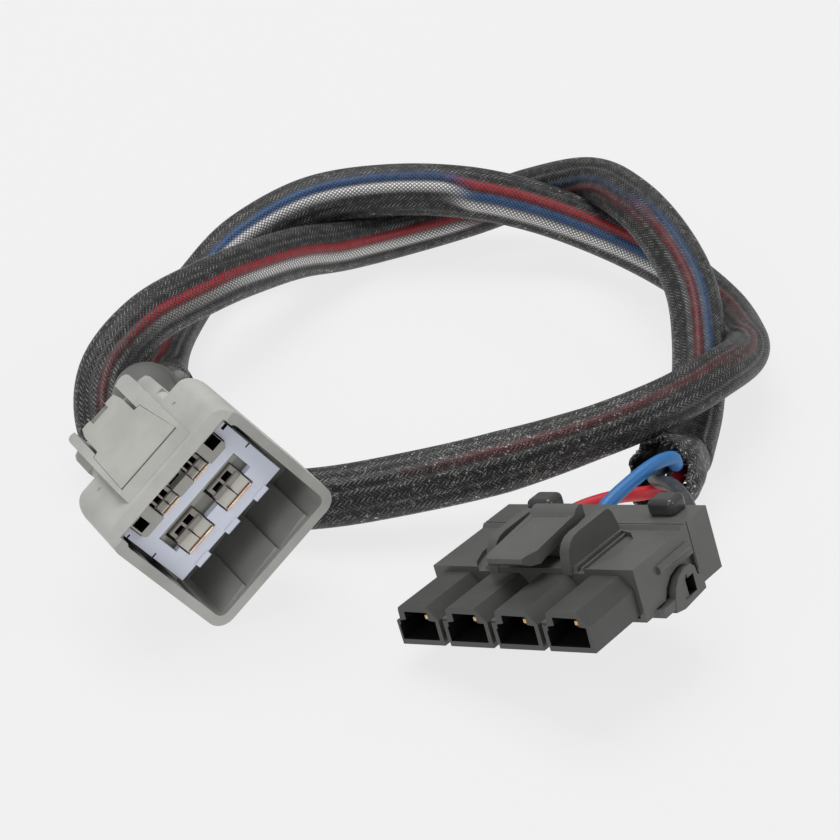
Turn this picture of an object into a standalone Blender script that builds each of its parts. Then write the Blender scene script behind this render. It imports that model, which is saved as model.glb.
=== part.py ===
"""Trailer brake controller adapter lead, lying on a table.

A light grey vehicle connector and a dark grey four way plug on the two ends of
one braided sleeve, which lies in about one and a half loops. Numbers are in
millimetres and MM turns them into Blender's metres. +Z is up, the table is z = 0,
and the origin is under the middle of the two connectors.

Each connector is modelled upright in its own frame, an empty: X across its
width, Y from the mouth to the wires, and Z up to the latch. The empty then lays
it on the table.
"""

import math

import bmesh
import bpy
from mathutils import Matrix, Vector

MM = 0.001
GAP = 0.3  # between pieces that touch on the real object
OVER = 1.0  # how far a cutter runs past a face, and joined bodies run into each other

# Where the middle of the two connectors is, in the numbers of the layout below.
CENTRE = Vector((-5.4, -70.1, 0.0))

# Vehicle connector: a shell with a wide mouth, rolled onto its lower left corner.
VEHICLE_AT = (-32.0, -68.2, 20.82)
VEHICLE_TILT = -3.0
VEHICLE_ROLL = -40.0
VEHICLE_TURN = 28.6
SHELL_W = 30.2
SHELL_TOP = 13.9
SHELL_BOTTOM = -15.1
MOUTH_WALL = 2.5
SHELL_WALL = 1.4
SHELL_CORNER = 3.0
FLANGE_DEPTH = 15.2
BODY_W = 18.6
BODY_TOP = 12.4
BODY_BOTTOM = -9.8
BODY_REAR = 25.0
CAVITY_DEPTH = 16.0
HUMP_TOP = 15.2
HUMP_FRONT = 3.0
RAIL_REAR = 28.0
LEVER_THICK = 1.4
LEVER_FRONT = 5.2
LEVER_NECK = 17.5
LEVER_REAR = 26.4
CARRIER_FRONT = 4.6
PLATE_FRONT = 3.0
PLATE_THICK = 1.3
PLATE_LOW = -4.0
POWER_X = (-4.9, 4.4)
POWER_Z = 0.8
SIGNAL_X = (-3.6, 3.5)
SIGNAL_Z = 8.6
POST_X = (-8.6, 8.3)
BARREL_FRONT = 11.6
BARREL_REAR = 18.6

# Controller plug: four sockets in a row on a stepped block, rolled onto its left end.
PLUG_AT = (12.2, -89.3, 9.95)
PLUG_ROLL = -19.8
PLUG_TURN = -36.0
PITCH = 10.0
SOCKETS = 4
SILO_W = 8.7
SILO_SHOULDER = 4.3
SILO_TOP = 6.7
SILO_STEP = 1.6
SILO_CHAMFER = 2.1
SILO_LENGTH = 12.9
SILO_WALL = 0.9
HOUSING_W = 40.6
HOUSING_REAR = 35.2
HOUSING_TOP = 7.7
HOUSING_BOTTOM = -1.2
STEP_Y = 27.2
REAR_TOP = 8.5
REAR_BOTTOM = -2.5
GUARD_X = 7.5
GUARD_TOP = 12.0
PIVOT_Y = 17.4
PIVOT_Z = 8.6
LATCH_W = 9.4
LOCK_FRONT = 16.6
LOCK_TRAVEL = 1.0

# The lead. The sleeve's route runs from the collar to the sleeve's open end.
SLEEVE_D = 8.5
COLLAR_D = 11.4
WIRE_D = 2.5
ROUTE = (
    (-47.5, -23.0, 18.5), (-46.2, -13.0, 13.8), (-46.8, -4.0, 9.0), (-49.0, 5.5, 6.8),
    (-49.3, 18.0, 6.0), (-47.6, 31.0, 5.7),
    (-43.6, 46.0, 6.5), (-36.0, 56.5, 10.5), (-22.5, 63.5, 15.3), (-6.5, 66.5, 16.7),
    (10.0, 67.6, 15.6), (25.0, 66.4, 12.6), (40.0, 60.8, 8.8), (52.0, 50.2, 6.5),
    (59.8, 36.5, 5.8), (62.3, 19.8, 8.0), (60.8, 3.0, 12.8), (54.0, -12.6, 17.0),
    (43.5, -24.2, 17.3), (30.5, -30.8, 15.2), (14.5, -35.3, 12.0), (-1.5, -38.3, 9.5),
    (-17.5, -40.0, 7.4), (-32.5, -38.0, 5.8), (-46.3, -32.0, 5.9), (-55.8, -22.3, 9.4),
    (-57.3, -9.8, 15.4), (-50.8, 4.5, 19.0), (-40.5, 20.0, 18.3), (-32.5, 34.3, 15.2),
    (-24.5, 48.2, 11.3), (-15.5, 60.0, 7.1), (-3.5, 69.5, 5.7), (10.5, 76.0, 7.0),
    (23.8, 77.2, 11.5), (35.6, 69.9, 17.2), (42.8, 54.4, 20.0), (48.8, 39.0, 18.7),
    (52.6, 24.2, 15.3), (53.0, 9.5, 10.4), (51.2, -6.5, 6.6), (47.8, -22.3, 5.6),
)
ROUTE_STEPS = 2
MOUTH_AXIS = (-0.34, -0.92, 0.2)
MOUTH_LENGTH = 14.0
MOUTH_D = 15.0
# Each wire's way from the plug to the sleeve's open end, left socket first, then where
# it enters the sleeve: to the right and upward of the sleeve's middle.
WIRES = {
    "wire_red": (((24.2, -48.0, 8.2), (28.2, -44.2, 8.3), (34.0, -40.9, 8.2), (39.5, -38.6, 7.6),
                  (43.6, -36.2, 7.3)), (2.0, 0.0)),
    "wire_blue": (((31.1, -54.2, 14.4), (35.8, -49.0, 16.2), (40.2, -44.4, 17.0),
                   (43.4, -40.8, 16.0), (44.5, -37.8, 12.9)), (0.0, 2.0)),
    "wire_white": (((38.6, -59.8, 14.8), (40.0, -53.0, 12.0), (41.4, -46.0, 7.5),
                    (42.4, -40.5, 5.0), (43.4, -36.0, 4.8)), (0.0, -2.0)),
    "wire_black": (((44.7, -65.4, 18.4), (44.3, -60.0, 18.4), (43.4, -55.0, 17.8),
                    (42.4, -50.0, 16.2), (41.3, -45.2, 13.8), (40.9, -41.0, 11.7),
                    (40.9, -38.0, 10.5)), (-2.0, 0.0)),
}
WIRE_STEPS = 4


# --- materials -------------------------------------------------------------------


def material(name, colour, roughness, metallic=0.0):
    made = bpy.data.materials.new(name)
    made.use_nodes = True
    shader = made.node_tree.nodes["Principled BSDF"]
    shader.inputs["Base Color"].default_value = (*colour, 1.0)
    shader.inputs["Roughness"].default_value = roughness
    shader.inputs["Metallic"].default_value = metallic
    made.diffuse_color = (*colour, 1.0)
    return made


# --- building blocks -------------------------------------------------------------


def place(name, mesh, frame, look, cutter=False):
    """A new object in the part's collection, or in the cutters' one, under its frame."""
    obj = bpy.data.objects.new(name, mesh)
    (CUTTERS if cutter else PART).objects.link(obj)
    obj.parent = frame
    obj.hide_render = cutter
    if cutter:
        obj.display_type = "WIRE"
    if look:
        mesh.materials.append(look)
    return obj


def box(name, low, high, frame=None, look=None, cutter=False, rounding=0.0):
    """A block between two corners, its edges rounded by a Bevel."""
    shape = bmesh.new()
    bmesh.ops.create_cube(shape, size=1.0)
    size = Vector(high) - Vector(low)
    middle = (Vector(high) + Vector(low)) / 2
    bmesh.ops.scale(shape, vec=size * MM, verts=shape.verts)
    bmesh.ops.translate(shape, vec=middle * MM, verts=shape.verts)
    mesh = bpy.data.meshes.new(name)
    shape.to_mesh(mesh)
    shape.free()
    obj = place(name, mesh, frame, look, cutter)
    if rounding:
        bevel = obj.modifiers.new("rounding", "BEVEL")
        bevel.width = rounding * MM
        bevel.segments = 2
    return obj


def cylinder(name, start, end, radius, frame=None, look=None, cutter=False, sides=16):
    """A round bar between two points."""
    start, end = Vector(start), Vector(end)
    shape = bmesh.new()
    bmesh.ops.create_cone(
        shape, cap_ends=True, segments=sides, radius1=radius * MM, radius2=radius * MM,
        depth=(end - start).length * MM,
    )
    turn = Vector((0, 0, 1)).rotation_difference(end - start).to_matrix().to_4x4()
    bmesh.ops.transform(
        shape, matrix=Matrix.Translation((start + end) / 2 * MM) @ turn, verts=shape.verts
    )
    mesh = bpy.data.meshes.new(name)
    shape.to_mesh(mesh)
    shape.free()
    return place(name, mesh, frame, look, cutter)


def solid_of(curve_obj, name, frame, look, cutter):
    """Turns a curve object into a closed mesh object in its place."""
    bpy.context.view_layer.update()
    graph = bpy.context.evaluated_depsgraph_get()
    mesh = bpy.data.meshes.new_from_object(curve_obj.evaluated_get(graph))
    mesh.transform(curve_obj.matrix_world)
    mesh.materials.clear()
    bpy.data.objects.remove(curve_obj)
    shape = bmesh.new()
    shape.from_mesh(mesh)
    bmesh.ops.remove_doubles(shape, verts=shape.verts, dist=0.00001)
    bmesh.ops.recalc_face_normals(shape, faces=shape.faces)
    shape.to_mesh(mesh)
    shape.free()
    mesh.name = name
    return place(name, mesh, frame, look, cutter)


def extrusion(name, outline, span, plane, frame=None, look=None, cutter=False):
    """A flat outline extruded over a span. plane names the axis it is extruded along.

    The outline's two numbers are X and Z for plane Y, X and Y for plane Z, and
    Y and Z for plane X.
    """
    curve = bpy.data.curves.new(name, "CURVE")
    curve.dimensions = "2D"
    curve.fill_mode = "BOTH"
    curve.extrude = abs(span[1] - span[0]) / 2 * MM
    spline = curve.splines.new("POLY")
    spline.points.add(len(outline) - 1)
    for point, (a, b) in zip(spline.points, outline, strict=True):
        point.co = (a * MM, b * MM, 0, 1)
    spline.use_cyclic_u = True
    middle = (span[0] + span[1]) / 2 * MM
    turn = {
        "Y": Matrix(((1, 0, 0), (0, 0, -1), (0, 1, 0))),
        "Z": Matrix.Identity(3),
        "X": Matrix(((0, 0, 1), (1, 0, 0), (0, 1, 0))),
    }[plane]
    shift = {"Y": (0, middle, 0), "Z": (0, 0, middle), "X": (middle, 0, 0)}[plane]
    guide = bpy.data.objects.new(name + "_outline", curve)
    CUTTERS.objects.link(guide)
    guide.matrix_world = Matrix.Translation(shift) @ turn.to_4x4()
    return solid_of(guide, name, frame, look, cutter)


def rounded(low, high, radius, steps=4):
    """The outline of a rectangle with round corners."""
    corners = (
        (high[0] - radius, high[1] - radius, 0),
        (low[0] + radius, high[1] - radius, 90),
        (low[0] + radius, low[1] + radius, 180),
        (high[0] - radius, low[1] + radius, 270),
    )
    points = []
    for x, y, first in corners:
        for i in range(steps + 1):
            angle = math.radians(first + 90 * i / steps)
            points.append((x + radius * math.cos(angle), y + radius * math.sin(angle)))
    return points


def boolean(obj, other, operation):
    cut = obj.modifiers.new(other.name, "BOOLEAN")
    cut.operation = operation
    cut.object = other
    return obj


def cut(obj, *others):
    for other in others:
        boolean(obj, other, "DIFFERENCE")


def join(obj, *others):
    for other in others:
        boolean(obj, other, "UNION")


def connector_frame(name, at, tilt, roll, turn):
    """An empty that lays a connector on the table: rolled, then tilted, then turned."""
    frame = bpy.data.objects.new(name, None)
    frame.location = (Vector(at) - CENTRE) * MM
    frame.rotation_mode = "YXZ"
    frame.rotation_euler = (math.radians(tilt), math.radians(roll), math.radians(turn))
    PART.objects.link(frame)
    return frame


def smooth_line(route, steps):
    """Points of a Catmull-Rom curve through a route, in metres from the origin."""
    points = [Vector(p) - CENTRE for p in route]
    points = [2 * points[0] - points[1], *points, 2 * points[-1] - points[-2]]
    line = []
    for a, b, c, d in zip(points, points[1:], points[2:], points[3:], strict=False):
        for i in range(steps):
            t = i / steps
            line.append(
                (2 * b + (c - a) * t + (2 * a - 5 * b + 4 * c - d) * t**2
                 + (3 * b - a - 3 * c + d) * t**3) / 2 * MM
            )
    line.append(points[-2] * MM)
    return line


def tube(name, line, diameter, look, resolution=2):
    """A round cord along a line of points."""
    curve = bpy.data.curves.new(name, "CURVE")
    curve.dimensions = "3D"
    curve.bevel_depth = diameter / 2 * MM
    curve.bevel_resolution = resolution
    curve.use_fill_caps = True
    spline = curve.splines.new("POLY")
    spline.points.add(len(line) - 1)
    for point, at in zip(spline.points, line, strict=True):
        point.co = (*at, 1)
    curve.materials.append(look)
    obj = bpy.data.objects.new(name, curve)
    PART.objects.link(obj)
    return obj


# --- vehicle connector -----------------------------------------------------------


def vehicle_shell(frame, look):
    """The flanged mouth, the narrower rear body and the rails beside the latch."""
    half_w = SHELL_W / 2
    shell = extrusion(
        "vehicle_shell", rounded((-half_w, SHELL_BOTTOM), (half_w, SHELL_TOP), SHELL_CORNER),
        (0, FLANGE_DEPTH), "Y", frame, look,
    )
    body = extrusion(
        "shell_body", rounded((-BODY_W / 2, BODY_BOTTOM), (BODY_W / 2, BODY_TOP), 1.6),
        (FLANGE_DEPTH - OVER, BODY_REAR), "Y", frame, None, True,
    )
    hump = extrusion(
        "shell_hump",
        ((-7.4, HUMP_FRONT), (7.4, HUMP_FRONT), (8.5, RAIL_REAR), (5.6, RAIL_REAR),
         (5.3, LEVER_NECK), (7.1, LEVER_FRONT), (-7.1, LEVER_FRONT), (-5.3, LEVER_NECK),
         (-5.6, RAIL_REAR), (-8.5, RAIL_REAR)),
        (BODY_TOP - OVER, HUMP_TOP), "Z", frame, None, True,
    )
    ramp = extrusion(
        "hump_ramp", ((HUMP_FRONT - OVER, HUMP_TOP + OVER), (HUMP_FRONT - OVER, SHELL_TOP + 0.05),
                      (HUMP_FRONT, SHELL_TOP + 0.05), (LEVER_FRONT - 0.5, HUMP_TOP),
                      (LEVER_FRONT - 0.5, HUMP_TOP + OVER)),
        (-half_w - OVER, half_w + OVER), "X", frame, None, True,
    )
    # The top's front edge is cut at a slope.
    brow = extrusion(
        "front_chamfer", ((-OVER, SHELL_TOP - 2.4), (3.0, SHELL_TOP + 0.8), (-OVER, SHELL_TOP + 0.8)),
        (-half_w - OVER, half_w + OVER), "X", frame, None, True,
    )
    join(shell, body, hump)
    # The latch bends down into this trough.
    trough = extrusion(
        "latch_trough",
        ((-7.1, LEVER_FRONT), (7.1, LEVER_FRONT), (5.3, LEVER_NECK), (5.6, RAIL_REAR + OVER),
         (-5.6, RAIL_REAR + OVER), (-5.3, LEVER_NECK)),
        (HUMP_TOP - LEVER_THICK - 1.9, HUMP_TOP + OVER), "Z", frame, None, True,
    )
    cavity = extrusion(
        "mouth_cavity",
        rounded((-half_w + MOUTH_WALL, SHELL_BOTTOM + MOUTH_WALL),
                (half_w - MOUTH_WALL, BODY_TOP - 1.3), 1.2, 2),
        (-OVER, FLANGE_DEPTH - SHELL_WALL), "Y", frame, None, True,
    )
    # The carrier fills the upper part, to the rear.
    bay = box(
        "carrier_bay", (-7.9, 9.0, BODY_BOTTOM + SHELL_WALL), (7.9, BODY_REAR - 1.6, BODY_TOP - 1.6),
        frame, None, True,
    )
    exit_hole = cylinder(
        "wire_exit", (0, BODY_REAR - 3, 0.6), (0, BODY_REAR + OVER, 0.6), 5.0, frame, None, True
    )
    cut(shell, ramp, brow, trough, cavity, bay, exit_hole)
    # Saw-tooth ribs down the wall opposite the latch, and a long groove in each side.
    for i, x in enumerate((-8.6, -1.6, 5.4)):
        rib = extrusion(
            f"wall_step_{i}",
            ((x - 3.4, SHELL_BOTTOM + MOUTH_WALL - 0.4), (x + 3.4, SHELL_BOTTOM + MOUTH_WALL - 0.4),
             (x + 3.4, SHELL_BOTTOM + MOUTH_WALL + 0.5)),
            (1.2, FLANGE_DEPTH - 0.7), "Y", frame, None, True,
        )
        join(shell, rib)
    for i, side in enumerate((-1, 1)):
        groove = box(
            f"side_groove_{i}",
            (side * (half_w - MOUTH_WALL) - 0.5, 1.0, -2.0),
            (side * (half_w - MOUTH_WALL) + 0.5, 9.0, 5.0), frame, None, True,
        )
        cut(shell, groove)
    return shell


def shell_latch(frame, look):
    """The long release arm. It bends at its front, in the dark groove."""
    clear = 0.35
    pivot = Vector((0, LEVER_FRONT + 0.4, HUMP_TOP - LEVER_THICK / 2))
    arm = extrusion(
        "shell_latch",
        ((-6.9 + clear, LEVER_FRONT + clear), (6.9 - clear, LEVER_FRONT + clear),
         (5.1 - clear, LEVER_NECK), (4.6, LEVER_REAR), (1.7, LEVER_REAR), (1.2, LEVER_REAR - 0.8),
         (-1.2, LEVER_REAR - 0.8), (-1.7, LEVER_REAR), (-4.6, LEVER_REAR), (-5.1 + clear, LEVER_NECK)),
        (HUMP_TOP - LEVER_THICK, HUMP_TOP + 0.1), "Z", frame, look,
    )
    arm.data.transform(Matrix.Translation(-pivot * MM))
    arm.location = pivot * MM
    return arm


def terminal_carrier(frame, look):
    """The inner block that holds the four terminals, with a corner post at each end."""
    carrier = box(
        "terminal_carrier", (-7.6, CARRIER_FRONT, PLATE_LOW), (7.6, BODY_REAR - 6.0, 10.4),
        frame, look,
    )
    face = box(
        "carrier_face", (-11.9, CARRIER_FRONT, PLATE_LOW + 0.2), (11.9, 12.2, 10.3), frame, None, True
    )
    join(carrier, face)
    for i, x in enumerate(POST_X):
        post = box(
            f"corner_post_{i}", (x - 2.0, PLATE_FRONT - 0.5, 7.4), (x + 2.0, CARRIER_FRONT + OVER, 10.7),
            frame, None, True,
        )
        join(carrier, post)
        hole = box(
            f"post_hole_{i}", (x - 1.0, PLATE_FRONT - 1.5, 8.4), (x + 1.0, CARRIER_FRONT + 2.0, 10.2),
            frame, None, True,
        )
        cut(carrier, hole)
    bridge = box(
        "signal_bridge", (-7.0, PLATE_FRONT, 6.9), (6.7, CARRIER_FRONT + OVER, 10.6), frame, None, True
    )
    join(carrier, bridge)
    for i, x in enumerate(POWER_X):
        slot = box(
            f"power_bore_{i}", (x - 3.45, CARRIER_FRONT - 3, POWER_Z - 2.85),
            (x + 3.45, BARREL_FRONT + 0.4, POWER_Z + 2.85), frame, None, True,
        )
        cut(carrier, slot)
    for i, x in enumerate(SIGNAL_X):
        slot = box(
            f"signal_bore_{i}", (x - 2.0, PLATE_FRONT - OVER, SIGNAL_Z - 1.75),
            (x + 2.0, BARREL_FRONT + 0.4, SIGNAL_Z + 1.75), frame, None, True,
        )
        cut(carrier, slot)
    for i, (x, z) in enumerate(barrel_places()):
        bore = cylinder(
            f"barrel_bore_{i}", (x, BARREL_FRONT - OVER, z), (x, BODY_REAR, z), 1.7, frame, None, True
        )
        cut(carrier, bore)
    return carrier


def barrel_places():
    """Across and up, where each terminal is crimped to its wire."""
    return (
        (POWER_X[0] + 1.0, POWER_Z), (POWER_X[1] - 1.0, POWER_Z),
        (SIGNAL_X[0], SIGNAL_Z), (SIGNAL_X[1], SIGNAL_Z),
    )


def terminal_retainer(frame, look):
    """The white plate that slides in from the mouth and locks the terminals."""
    top, ear = 10.4, 10.9
    plate = extrusion(
        "terminal_retainer",
        ((-11.9, PLATE_LOW), (11.9, PLATE_LOW), (11.9, top), (ear - 0.2, top), (ear - 0.2, 6.6),
         (-ear - 0.2, 6.6), (-ear - 0.2, top), (-11.9, top)),
        (PLATE_FRONT, PLATE_FRONT + PLATE_THICK), "Y", frame, look,
    )
    window = box(
        "long_window", (-9.1, PLATE_FRONT - OVER, POWER_Z - 0.5),
        (9.3, PLATE_FRONT + PLATE_THICK + OVER, POWER_Z + 3.4), frame, None, True,
    )
    cut(plate, window)
    for i, x in enumerate(POWER_X):
        hole = box(
            f"plate_hole_{i}", (x - 3.5, PLATE_FRONT - OVER, POWER_Z - 2.9),
            (x + 3.5, PLATE_FRONT + PLATE_THICK + OVER, POWER_Z + 1.0), frame, None, True,
        )
        cut(plate, hole)
    for i, x in enumerate((-7.2, 0.0, 7.2)):
        tab = box(
            f"plate_tab_{i}", (x - 1.5, PLATE_FRONT - 0.5, PLATE_LOW - 0.3),
            (x + 1.5, PLATE_FRONT + 0.9, PLATE_LOW + 0.9), frame, None, True,
        )
        join(plate, tab)
    return plate


def terminal(name, x, z, width, height, front, barrel_x, frame, look):
    """A folded metal box, open at its front for a blade, and crimped to a wire behind."""
    body = box(
        name, (x - width / 2, front, z - height / 2), (x + width / 2, BARREL_FRONT, z + height / 2),
        frame, look,
    )
    barrel = cylinder(
        name + "_barrel", (barrel_x, BARREL_FRONT - OVER, z), (barrel_x, BARREL_REAR, z), 1.4,
        frame, None, True, 12,
    )
    join(body, barrel)
    mouth = box(
        name + "_mouth", (x - width / 2 + 0.5, front - OVER, z + 0.1),
        (x + width / 2 - 0.5, front + 6.5, z + height / 2 - 0.5), frame, None, True,
    )
    seam = box(
        name + "_seam", (x - 0.12, front - OVER, z - height / 2 - OVER), (x + 0.12, front + 3.0, z + 0.3),
        frame, None, True,
    )
    cut(body, mouth, seam)
    return body


def rear_seal(frame, look):
    """The plug behind the carrier that the wires come out through."""
    seal = box(
        "rear_seal", (-7.5, BODY_REAR - 5.6, BODY_BOTTOM + SHELL_WALL + GAP),
        (7.5, BODY_REAR - 1.9, 10.4), frame, look,
    )
    neck = cylinder(
        "seal_neck", (0, BODY_REAR - 4.0, 0.6), (0, BODY_REAR, 0.6), 4.6, frame, None, True
    )
    join(seal, neck)
    return seal


# --- controller plug -------------------------------------------------------------


def socket_x(i):
    return (i - (SOCKETS - 1) / 2) * PITCH


def silo_outline(x, inset=0.0):
    """One socket's keyed outline: wide below, stepped on the left, sloped on the right."""
    half = SILO_W / 2 - inset
    slope = SILO_CHAMFER - inset * 0.4
    return (
        (x - half, inset), (x + half, inset), (x + half, SILO_SHOULDER + 0.2 - inset * 0.4),
        (x + half - slope, SILO_TOP - inset), (x - half + SILO_STEP, SILO_TOP - inset),
        (x - half + SILO_STEP, SILO_SHOULDER - inset), (x - half, SILO_SHOULDER - inset),
    )


def plug_housing(frame, look):
    """The block, its four sockets, the latch guards and the marks on its sides."""
    half = HOUSING_W / 2
    housing = extrusion(
        "plug_housing",
        ((SILO_LENGTH, HOUSING_BOTTOM), (25.4, HOUSING_BOTTOM), (26.2, REAR_BOTTOM),
         (HOUSING_REAR, REAR_BOTTOM), (HOUSING_REAR, REAR_TOP), (STEP_Y + 0.8, REAR_TOP),
         (STEP_Y, HOUSING_TOP), (SILO_LENGTH, HOUSING_TOP)),
        (-half, half), "X", frame, look,
    )
    for i in range(SOCKETS):
        x = socket_x(i)
        silo = extrusion(
            f"silo_{i}", silo_outline(x), (0, SILO_LENGTH + 2.0), "Y", frame, None, True
        )
        join(housing, silo)
    for i, side in enumerate((-1, 1)):
        guard = extrusion(
            f"latch_guard_{i}",
            ((SILO_LENGTH + 0.2, HOUSING_TOP - OVER), (27.8, HOUSING_TOP - OVER), (27.8, 9.6),
             (26.4, GUARD_TOP - 0.4), (24.8, GUARD_TOP), (16.0, GUARD_TOP), (14.2, GUARD_TOP - 0.6),
             (13.2, GUARD_TOP - 2.2), (SILO_LENGTH + 0.2, 8.6)),
            (side * GUARD_X - 0.9, side * GUARD_X + 0.9), "X", frame, None, True,
        )
        ledge = extrusion(
            f"guard_ledge_{i}",
            ((SILO_LENGTH + 0.5, HOUSING_TOP - 0.8), (27.0, HOUSING_TOP - 0.8), (27.0, 8.4),
             (13.7, 8.4)),
            tuple(sorted((side * (GUARD_X + 0.4), side * (GUARD_X + 2.3)))), "X", frame, None, True,
        )
        bump = box(
            f"rear_bump_{i}", (side * 14.9 - 2.8, 31.1, REAR_TOP - OVER),
            (side * 14.9 + 2.8, HOUSING_REAR - 0.1, 10.7), frame, None, True, 0.9,
        )
        pill = cylinder(
            f"side_rib_{i}", (side * (half - 0.1), 19.0, 4.9), (side * (half - 0.1), 28.1, 4.9), 0.95,
            frame, None, True, 12,
        )
        join(housing, guard, ledge, bump, pill)
    for i in range(SOCKETS):
        x = socket_x(i)
        socket = extrusion(
            f"socket_{i}", silo_outline(x, SILO_WALL), (-OVER, 22.0), "Y", frame, None, True
        )
        wire_hole = cylinder(
            f"wire_hole_{i}", (x, 21.0, 2.9), (x, HOUSING_REAR + OVER, 2.9), 2.2, frame, None, True
        )
        cut(housing, socket, wire_hole)
    # The lock slides forward in these: a pocket up each side, and a slot under the block.
    for i, side in enumerate((-1, 1)):
        pocket = extrusion(
            f"lock_pocket_{i}",
            ((17.6, REAR_BOTTOM - 2 * OVER), (28.8, REAR_BOTTOM - 2 * OVER), (28.8, 3.1),
             (23.6, 3.1), (21.0, 2.6), (19.2, 1.0), (18.2, -1.0)),
            tuple(sorted((side * (half - 0.75), side * (half + OVER)))), "X", frame, None, True,
        )
        cut(housing, pocket)
    floor = box(
        "lock_floor", (-half - OVER, LOCK_FRONT - LOCK_TRAVEL - 0.4, REAR_BOTTOM - OVER),
        (half + OVER, 28.9, -0.4), frame, None, True,
    )
    cut(housing, floor)
    return housing


def plug_latch(frame, look):
    """The rocking latch: a hook over the sockets and a raised thumb pad behind."""
    pivot = Vector((0, PIVOT_Y, PIVOT_Z))
    latch = extrusion(
        "plug_latch",
        ((8.3, 9.3), (9.0, 8.3), (10.6, 8.3), (12.0, 9.5), (15.9, 10.2), (16.6, 8.0), (18.2, 8.0),
         (19.0, 10.8), (22.6, 11.3), (24.0, 11.3), (24.0, 13.4), (22.9, 13.4), (22.2, 12.9),
         (16.0, 12.2), (8.3, 10.9)),
        (-LATCH_W / 2, LATCH_W / 2), "X", frame, look,
    )
    side_cut = extrusion(
        "hook_bevel", ((LATCH_W / 2 - 1.3, 8.3 - OVER), (LATCH_W / 2 + OVER, 8.3 - OVER),
                       (LATCH_W / 2 + OVER, 11.6)),
        (8.0, 14.0), "Z", frame, None, True,
    )
    cut(latch, side_cut)
    latch.data.transform(Matrix.Translation(-pivot * MM))
    side_cut.data.transform(Matrix.Translation(-pivot * MM))
    latch.location = pivot * MM
    side_cut.location = pivot * MM
    return latch


def plug_lock(frame, look):
    """The terminal lock: a bar under the housing with a windowed ear up each side."""
    half = HOUSING_W / 2
    lock = box(
        "plug_lock", (-half - 1.0, LOCK_FRONT, REAR_BOTTOM + 0.1), (half + 1.0, 28.5, -0.8),
        frame, look,
    )
    for i, side in enumerate((-1, 1)):
        ear = extrusion(
            f"lock_ear_{i}",
            ((19.6, -2.9), (28.5, -2.9), (28.5, -0.4), (27.0, 0.4), (26.6, 2.2), (25.6, 2.8),
             (23.0, 2.2), (21.0, 0.8), (20.0, -1.0)),
            tuple(sorted((side * (half - 0.4), side * (half + 1.0)))), "X", frame, None, True,
        )
        window = box(
            f"ear_window_{i}", (side * half - 2.0, 23.4, -2.2), (side * half + 2.0, 25.3, 0.2),
            frame, None, True,
        )
        join(lock, ear)
        cut(lock, window)
    return lock


def contact(i, frame, look):
    """A brass socket contact, held well back in its silo."""
    x = socket_x(i)
    body = box(
        f"plug_contact_{i + 1}", (x - 1.6, 5.6, 1.4), (x + 1.8, 21.6, 4.6), frame, look
    )
    opening = box(
        f"contact_opening_{i}", (x - 1.1, 5.6 - OVER, 1.9), (x + 1.3, 14.0, 4.1), frame, None, True
    )
    barrel = cylinder(
        f"contact_barrel_{i}", (x, 21.0, 2.9), (x, 29.0, 2.9), 1.7, frame, None, True, 12
    )
    join(body, barrel)
    cut(body, opening)
    return body


# --- lead ------------------------------------------------------------------------


def heat_shrink_collar(vehicle, look):
    """A bent collar from the connector's rear seal to the start of the sleeve."""
    bpy.context.view_layer.update()
    rear, behind, straight = (
        vehicle.matrix_world @ (Vector((0, BODY_REAR + back, 0.6)) * MM) for back in (GAP, 1.8, 7.0)
    )
    end, after = smooth_line(ROUTE, ROUTE_STEPS)[:2]
    lead_in = (after - end).normalized()
    stop = end - lead_in * GAP * MM
    route = [behind, straight, stop - lead_in * 6 * MM, stop - lead_in * 1.5 * MM]
    points = [p / MM + CENTRE for p in route]
    return tube("heat_shrink_collar", [rear, *smooth_line(points, 4), stop], COLLAR_D, look, 3)


def sleeve_mouth(line, look):
    """The sleeve's open end: a flared cuff with the wires inside it."""
    axis = (line[-1] - line[-2]).normalized()
    start = line[-1] + axis * GAP * MM
    profile = bpy.data.meshes.new("sleeve_mouth")
    shape = bmesh.new()
    wall = 0.6
    start_r, end_r = SLEEVE_D / 2, MOUTH_D / 2
    flare = ((end_r, 1.0), (end_r - 0.5, 0.7), (start_r + 0.1, 0.35), (start_r, 0.0))
    points = [(r, h * MOUTH_LENGTH) for r, h in flare]
    points += [(r - wall, h * MOUTH_LENGTH) for r, h in reversed(flare)]
    verts = [shape.verts.new((r * MM, 0, h * MM)) for r, h in points]
    for a, b in zip(verts, verts[1:] + verts[:1], strict=True):
        shape.edges.new((a, b))
    shape.to_mesh(profile)
    shape.free()
    cuff = place("sleeve_mouth", profile, None, look)
    screw = cuff.modifiers.new("turned", "SCREW")
    screw.steps = 24
    screw.render_steps = 24
    screw.use_merge_vertices = True
    screw.merge_threshold = 0.00001
    cuff.rotation_mode = "QUATERNION"
    cuff.rotation_quaternion = Vector((0, 0, 1)).rotation_difference(axis)
    cuff.location = start
    return cuff


def wire_tails(plug, line, looks):
    """Each tail leaves its hole in the plug straight back and bends into the sleeve."""
    bpy.context.view_layer.update()
    axis = (line[-1] - line[-2]).normalized()
    right = axis.cross(Vector((0, 0, -1))).normalized()
    up = axis.cross(right)
    for i, (name, (route, (across, rise))) in enumerate(WIRES.items()):
        hole = [
            plug.matrix_world @ (Vector((socket_x(i), y, 2.9)) * MM) / MM + CENTRE
            for y in (29.6, HOUSING_REAR)
        ]
        entry = line[-1] / MM + CENTRE + right * across + up * rise
        inside = [entry + axis * 7, entry + axis * 0.5]
        tube(name, smooth_line([*hole, *route, *inside], WIRE_STEPS), WIRE_D, looks[name])


# --- assembly --------------------------------------------------------------------

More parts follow.
